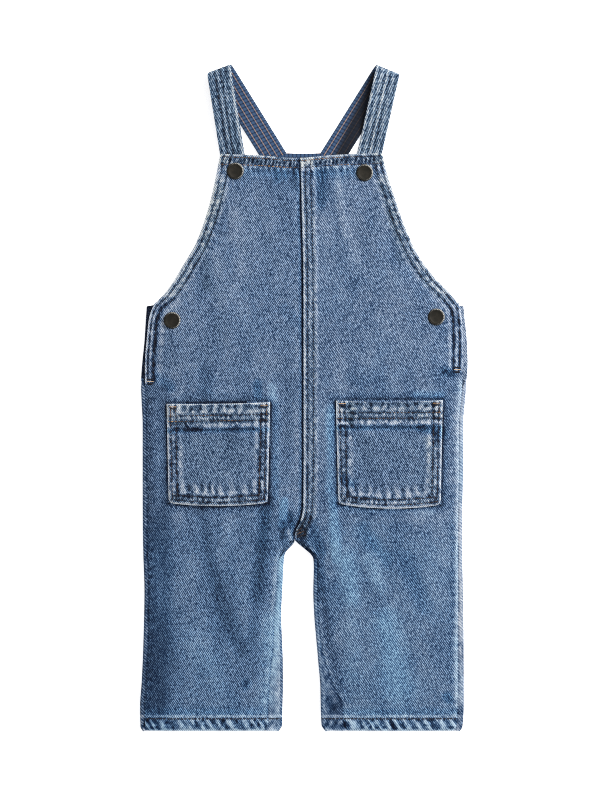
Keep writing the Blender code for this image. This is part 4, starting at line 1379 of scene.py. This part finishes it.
def makeStitches(name, rows):
    # All the rows of a piece as one mesh: the stitch repeated, then each put in place.
    joined = {key: np.concatenate([row[key] for row in rows]) for key in rows[0]}
    piece = copyOf(stitchModel, name)
    shape = stacked(piece, len(joined["warm"]))
    along = joined["last"] - joined["first"]
    across = unit(np.cross(joined["normal"], unit(along)))
    up = np.cross(unit(along), across)
    centre = (joined["first"] + joined["last"]) / 2
    thick = 2 * joined["radius"][:, None]
    placed = centre[:, None] + shape[..., :1] * along[:, None]
    placed = placed + shape[..., 1:2] * (across * thick)[:, None] + shape[..., 2:] * (up * thick)[:, None]
    mesh = piece.data
    mesh.vertices.foreach_set("co", ((placed - middle) * mm).ravel())
    warm = mesh.attributes.new("warm", "FLOAT", "POINT")
    warm.data.foreach_set("value", np.repeat(joined["warm"], shape.shape[1]))
    mesh.update()
    mesh.shade_smooth()
    mesh.materials.append(looks["thread"])
    return piece


def inwards(path, d):
    # A path of points moved sideways by d, to its left where d is positive.
    step = np.gradient(path, axis=0)
    step = step / np.linalg.norm(step, axis=1, keepdims=True)
    return path + d * together(-step[:, 1], step[:, 0])


def upwards(count, way=1.0):
    return np.tile((0.0, 0.0, way), (count, 1))


def sewRow(faceOf, side, path, seed, kind, **look):
    # A row of stitches along a path on a face's surface.
    x, y = path[:, 0], path[:, 1]
    z = faceOf(side, x, y)["z"]
    points = together(x, y + (topShift(x, y) if faceOf is frontFace else 0), z)
    return stitchRow(points, upwards(len(x)), seed, **sewing[kind], **look)


def evenPath(path, step=1.2):
    # The same path with points at even steps.
    path = np.array(path, dtype=float)
    run = np.concatenate([[0], np.cumsum(np.hypot(*np.diff(path, axis=0).T))])
    at = np.linspace(0, run[-1], max(3, int(run[-1] / step)))
    return together(np.interp(at, run, path[:, 0]), np.interp(at, run, path[:, 1]))


def barTack(faceOf, side, x0, y0, x1, y1, warm, seed, half=0.5):
    # A close row of short stitches, laid across the line from one point to the other.
    path = evenPath([(x0, y0), (x1, y1)], 0.5)
    row = sewRow(faceOf, side, path, seed, "tack", warm=warm)
    way = unit(row["last"] - row["first"])
    across = unit(np.cross(row["normal"], way)) * half
    centre = (row["first"] + row["last"]) / 2
    return dict(row, first=centre - across, last=centre + across, radius=row["radius"] * 1.05)


tacks = {
    # the crotch's close stitching, one bar over the other: from, to and warmth
    "crotch": ((-5.6, -103.5, -1.0, -100.5, 0.16), (-5.2, -105.6, 0.2, -102.9, 0.36),
               (-5.0, -107.9, 1.8, -105.2, 0.10)),
    # the side opening's foot, dark thread on both sides of it, also standing in for the painted shade around
    # the tack: rise, warmth and half its width
    "foot": ((1.6, -0.1, 0.7), (0, 1.1, 0.3), (-1.9, -0.1, 1.0)),
    "footReach": (1.3, 6.6),
}


def frontRows(side):
    sign = signs[side]
    path = evenPath(sidePath(side))
    path = path[path[:, 1] > cut["tack"][side] + 1.5]
    opening = openingShare(path[:, 1])
    rows = []
    for high, low in zip(hems[f"armhole_{side}"]["rows"], hems[f"opening_{side}"]["rows"]):
        d = (high * (1 - opening) + low * opening)[:, None]
        rows.append(sewRow(frontFace, side, inwards(path, -d * sign), 300 + sign, "opening"))
    for d, warm in zip(hems["bib"]["rows"], (0.34, 0.24)):
        y = cut["bibTop"] - d
        inner, outer = (edge[0] for edge in frontEdges(side, np.array([y])))
        path = evenPath([(inner + sign * 0.5, y), (outer - sign * 1.5, y)])
        rows.append(sewRow(frontFace, side, path, 310 + sign + int(d), "bib", warm=warm))
    if side == "left":
        y = np.arange(190, cut["crotch"] + 2, -2.0)
        for d in hems["fell"]["rows"]:
            path = evenPath(together(seamX(y) + d * (1 - 0.1 * below(y, -70, 30)), y))
            rows.append(sewRow(frontFace, side, path, 320 + int(d), "fell"))
        for x0, y0, x1, y1, warm in tacks["crotch"]:
            rows.append(barTack(frontFace, side, x0, y0, x1, y1, warm, 600 + int(y0), 0.55))
    y = cut["legEnd"] + hems["leg"]["rows"][0]
    inner, outer = (edge[0] for edge in frontEdges(side, np.array([y])))
    path = evenPath([(inner + sign * 0.4, y), (outer - sign * 0.4, y)])
    rows.append(sewRow(frontFace, side, path, 330 + sign, "leg"))
    foot = cut["tack"][side]
    _, outer = frontEdges(side, np.array([foot]))
    near, far = (outer[0] - sign * reach for reach in tacks["footReach"])
    for rise, warm, half in tacks["foot"]:
        inset = sign * 0.7 * (rise < 0)
        rows.append(barTack(frontFace, side, far + inset, foot + rise, near - inset, foot + rise, warm,
                            340 + sign + int(rise), half))
    return rows


def backRows(side):
    # The rows on the back's outer face, which lies down, and the hem's over its turned edges.
    sign = signs[side]
    rows = []

    def under(path, seed):
        x, y = path[:, 0], path[:, 1]
        points = together(x, withNeckline(x, y), 0 * x)
        rows.append(stitchRow(points, upwards(len(x), -1.0), seed, **sewing["back"]))

    y = np.arange(190, 77, -2.0)
    armhole = together(sign * curve(backArmhole, side, y), y)
    for d in hems[f"armhole_{side}"]["rows"]:
        under(evenPath(inwards(armhole, -d * sign)), 350 + sign + int(d))
    if side == "left":
        y = np.arange(188, cut["crotch"] + 2, -2.0)
        for d in hems["fell"]["rows"]:
            under(evenPath(together(seamX(y) + d, y)), 360 + int(d))
    y = cut["legEnd"] + hems["leg"]["rows"][0]
    inner, outer = (edge[0] for edge in outline(side, np.array([y])))
    under(evenPath([(inner + sign, y), (outer - sign, y)]), 370 + sign)
    for edge, way, wrap in ((inner, sign, inseamWrap), (outer, -sign, sideWrap)):
        path = evenPath([(edge + way * 0.3, y), (edge + way * (curve(wrap, side, y) + 0.2), y)], 0.4)
        points = np.column_stack([path, 0 * path[:, 0]])
        for point in points:
            start = (point - middle + (0, 0, 20)) * mm
            struck, place, _, _ = panels[f"back_{side}"].ray_cast(start, (0, 0, -1))
            point[2] = place[2] / mm if struck else cut["cloth"]
        rows.append(stitchRow(points, upwards(len(points)), 374 + sign, **sewing["leg"]))
    return rows


def pocketRows(side):
    a, b, c, e = (np.array(p) for p in pockets[side]["corners"])
    path = evenPath(pocketPath(side)[1:] + [pocketPath(side)[0]], 1.0)
    seed = 400 if side == "left" else 430
    rows = []
    for d in hems["pocketSide"]["rows"]:
        # down one side, along the bottom and up the other, each inside the corners
        inner = inwards(path, -d)
        inside = (inner[:, 0] > min(a[0], e[0]) + d * 0.8) & (inner[:, 0] < max(b[0], c[0]) - d * 0.8)
        inside &= (inner[:, 1] > path[:, 1].min() + d * 0.75) & (inner[:, 1] < a[1] - 0.6)
        rows.append(sewRow(pocketFace, side, inner[inside], seed + int(d), "pocketSide"))
    for d, warm in zip(hems["pocketTop"]["rows"], (0.16, 0.22)):
        line = evenPath([a + (0.8, -d), b - (0.8, d)], 1.0)
        rows.append(sewRow(pocketFace, side, line, seed + 10 + int(d), "pocketTop", warm=warm))
    for at, way in ((a, 1), (b, -1)):
        # a bright tack across the corner, a dark one under it and one down the side
        near, far = at[0] + way * 2.0, at[0] + way * 7.6
        high = at[1] - 2.3
        for x0, y0, x1, y1, warm, more, half in (
                (near, high, far, high, 0.92, 20, 0.28),
                (near + way * 0.6, high - 1.4, far - way * 0.6, high - 1.4, 0.0, 24, 0.6),
                (near + way * 0.9, high - 2.4, near + way * 0.9, high - 7.4, 0.45, 28, 0.22)):
            rows.append(barTack(pocketFace, side, x0, y0, x1, y1, warm, seed + more + way, half))
    return rows


def strapRows(side):
    place, toFold, bend, length = strapPlacer(side)
    rows = []
    for d in strapCut[side]["rows"]:
        s = np.arange(4, length - 4, 1.5)
        u = signs[side] * (strapCut["width"] / 2 - d) + 0 * s
        over = above(s, toFold, bend)
        layer = strapCut["faceDown"] * (2 - over) - strapFace(side, s, u)["z"] * over
        normals = unit(place(s, u, 0 * s) - place(s, u, 0 * s + 1))
        rows.append(stitchRow(place(s, u, layer), normals, 460 + int(d), **sewing["strap"]))
    return rows


capCut = {
    "radius": 6.3, "sides": 72, "smooth": 38, "sunk": 0.1,
    "dots": 28, "dotRing": 5.75, "dotSize": 0.46, "dotHeight": 1.74,
    "rings": [(6.6, 0.35), (6.6, 0.95), (6.48, 1.45), (6.25, 1.72), (6.0, 1.80), (5.75, 1.74), (5.45, 1.66),
              (5.2, 1.70), (4.95, 1.68), (4.5, 1.58), (3.6, 1.50), (2.4, 1.46), (0.9, 1.44)],
    "turn": 1.3,            # from one cap to the next, in radians
    "places": {"snap_bib_right": ("right", -53.0, 177.6), "snap_bib_left": ("left", 47.8, 176.3),
               "snap_side_right": ("right", -102.2, 61.2), "snap_side_left": ("left", 103.6, 63.9)},
}


def makeCap():
    # A snap's cap: a flat dish inside a milled rim, from a disc drawn up in rings, and dots round it.
    bpy.ops.object.select_all(action="DESELECT")
    bpy.ops.mesh.primitive_circle_add(vertices=capCut["sides"], radius=capCut["radius"], fill_type="NGON")
    cap = bpy.context.object
    bpy.ops.object.mode_set(mode="EDIT")
    bpy.ops.mesh.select_all(action="SELECT")
    radius, height = capCut["radius"], 0.0
    for nextRadius, nextHeight in capCut["rings"]:
        bpy.ops.mesh.extrude_region_move(TRANSFORM_OT_translate=dict(value=(0, 0, nextHeight - height)))
        share = nextRadius / radius
        bpy.ops.transform.resize(value=(share, share, 1), center_override=(0, 0, nextHeight))
        radius, height = nextRadius, nextHeight
    bpy.ops.mesh.poke()
    bpy.ops.mesh.select_all(action="SELECT")
    bpy.ops.mesh.normals_make_consistent(inside=False)
    bpy.ops.object.mode_set(mode="OBJECT")

    bpy.ops.object.select_all(action="DESELECT")
    bpy.ops.mesh.primitive_ico_sphere_add(subdivisions=1, radius=capCut["dotSize"])
    dots = bpy.context.object
    shape = stacked(dots, capCut["dots"])
    angle = np.arange(capCut["dots"]) * 2 * pi / capCut["dots"]
    ring = together(np.cos(angle), np.sin(angle), 0 * angle) * capCut["dotRing"]
    dots.data.vertices.foreach_set("co", (shape + ring[:, None] + (0, 0, capCut["dotHeight"])).ravel())
    cap.select_set(True)
    bpy.context.view_layer.objects.active = cap
    bpy.ops.object.join()
    bpy.ops.object.shade_smooth_by_angle(angle=radians(capCut["smooth"]))
    cap.data.attributes.new("wear", "FLOAT", "POINT")
    cap.data.materials.append(looks["cap"])
    return cap


def capPaintedHighlight(spots):
    # A painted highlight: the rim and its dots are made bright on the side towards the light, the dish
    # hardly.
    far = np.hypot(spots[:, 0], spots[:, 1])
    side = np.clip(0.5 + 0.62 * (spots[:, 0] * 0.9 + spots[:, 1] * 0.43) / np.maximum(far, 0.1), 0, 1) ** 2
    high = spots[:, 2] > 1.2
    dots = (np.abs(far - capCut["dotRing"]) < 0.45) * (spots[:, 2] > 1.92)
    return side * (0.7 * bump(far, 6.4, 0.35) * high + 1.3 * dots)


capModel = makeCap()
caps = {}
for turn, (node, (side, x, y)) in enumerate(capCut["places"].items()):
    angle = np.linspace(0, 2 * pi, 24)
    seat = frontFace(side, x + 5 * np.cos(angle), y + 5 * np.sin(angle))["z"].mean() - capCut["sunk"]
    cap = copyOf(capModel, node.replace("snap", "cap"))
    c, s = cos(turn * capCut["turn"]), sin(turn * capCut["turn"])
    spots = pointsOf(cap.data) @ np.array(((c, s, 0), (-s, c, 0), (0, 0, 1)))
    cap.data.attributes["wear"].data.foreach_set("value", capPaintedHighlight(spots))
    spots += np.array((x, y, seat)) - middle
    cap.data.vertices.foreach_set("co", (spots * mm).ravel())
    cap.data.update()
    caps[node] = cap
print("caps made")

bpy.context.view_layer.update()
stitched = {}
for side in signs:
    for kind, rowsOf in dict(front=frontRows, back=backRows, pocket=pocketRows, strap=strapRows).items():
        stitched[f"{kind}_{side}"] = makeStitches(f"stitching_{kind}_{side}", rowsOf(side))
bpy.data.objects.remove(stitchModel)
bpy.data.objects.remove(capModel)
print("stitching made")

# What each piece rides on and stands for

sheets = {
    "front_right": ((0.128, 0.452), 0.0440, "laid"),
    "front_left": ((0.128, 0.452), 0.0440, "laid"),
    "back_right": ((0.146, 0.452), 0.0520, "laid"),
    "back_left": ((0.146, 0.452), 0.0520, "laid"),
    "pocket_right": ((0.081, 0.081), None, "laid"),
    "pocket_left": ((0.082, 0.084), None, "laid"),
    "strap_right": ((0.021, 0.195), None, "folded"),
    "strap_left": ((0.021, 0.195), None, "folded"),
    "strap_lining_right": ((0.018, 0.190), None, "folded"),
    "strap_lining_left": ((0.018, 0.190), None, "folded"),
    "back_facing": ((0.060, 0.030), None, "laid"),
}

for node, piece in {**panels, **caps}.items():
    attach(piece, "root")
    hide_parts(node)
for node, piece in stitched.items():
    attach(piece, "root")
for node, (flat, area, held) in sheets.items():
    kind, _, side = node.rpartition("_")

# Floor, light and camera

studio = {
    "paper": 8, "drop": 0.0002,     # the floor's size in metres, and how far it lies under the piece
    "floor": 0.90,
    "glow": 0.62,           # which keeps the shadows on the floor faint
    "air": 0.55,
    "key": dict(place=(0.85, 0.75, 1.15), aim=(0, 0, 0), size=0.8, power=26),
    "aim": (-0.00308, -0.00170, 0.005),
    "distance": 3.0,
    "high": 0.6234,         # of the view, at the garment
    "film": 36,
    "pixel": 1.05,          # the width that a pixel takes light from
}


def makeFloor():
    bpy.ops.object.select_all(action="DESELECT")
    bpy.ops.mesh.primitive_plane_add(size=studio["paper"], location=(0, 0, -studio["drop"]))
    floor = bpy.context.object
    floor.name = floor.data.name = "studio_floor"
    finish = Finish("studio_paper", Roughness=0.95, Specular_IOR_Level=0.05)
    shade = finish.speckle(40.0, 3.0) * 0.01 + (studio["floor"] - 0.005)
    finish.give("Base Color", finish.node("CombineColor", None, shade, shade, shade).out())
    finish.give("Emission Color", (1.0, 1.0, 1.0, 1.0))
    finish.give("Emission Strength", studio["glow"])
    floor.data.materials.append(finish.material)


def addLight(name, place, aim, size, power):
    lamp = bpy.data.lights.new(name, "AREA")
    lamp.shape = "DISK"
    lamp.size = size
    lamp.energy = power
    holder = bpy.data.objects.new(name, lamp)
    bpy.context.scene.collection.objects.link(holder)
    holder.location = place
    holder.rotation_euler = (Vector(aim) - Vector(place)).to_track_quat("-Z", "Y").to_euler()


makeFloor()
addLight("key_light", **studio["key"])
world = bpy.data.worlds.new("studio_air")
world.use_nodes = True
air = world.node_tree.nodes["Background"].inputs
air["Color"].default_value = (1, 1, 1, 1)
air["Strength"].default_value = studio["air"]
scene = bpy.context.scene
scene.world = world
scene.view_settings.view_transform = "Standard"
scene.cycles.use_denoising = False      # it would smooth the twill away
scene.cycles.filter_width = studio["pixel"]

lens = bpy.data.cameras.new("photo_camera")
lens.sensor_fit = "VERTICAL"
lens.sensor_height = studio["film"]
lens.lens = studio["film"] * (studio["distance"] - studio["aim"][2]) / studio["high"]
camera = bpy.data.objects.new("photo_camera", lens)
camera.location = (studio["aim"][0], studio["aim"][1], studio["distance"])
scene.collection.objects.link(camera)
scene.camera = camera
print("studio made")
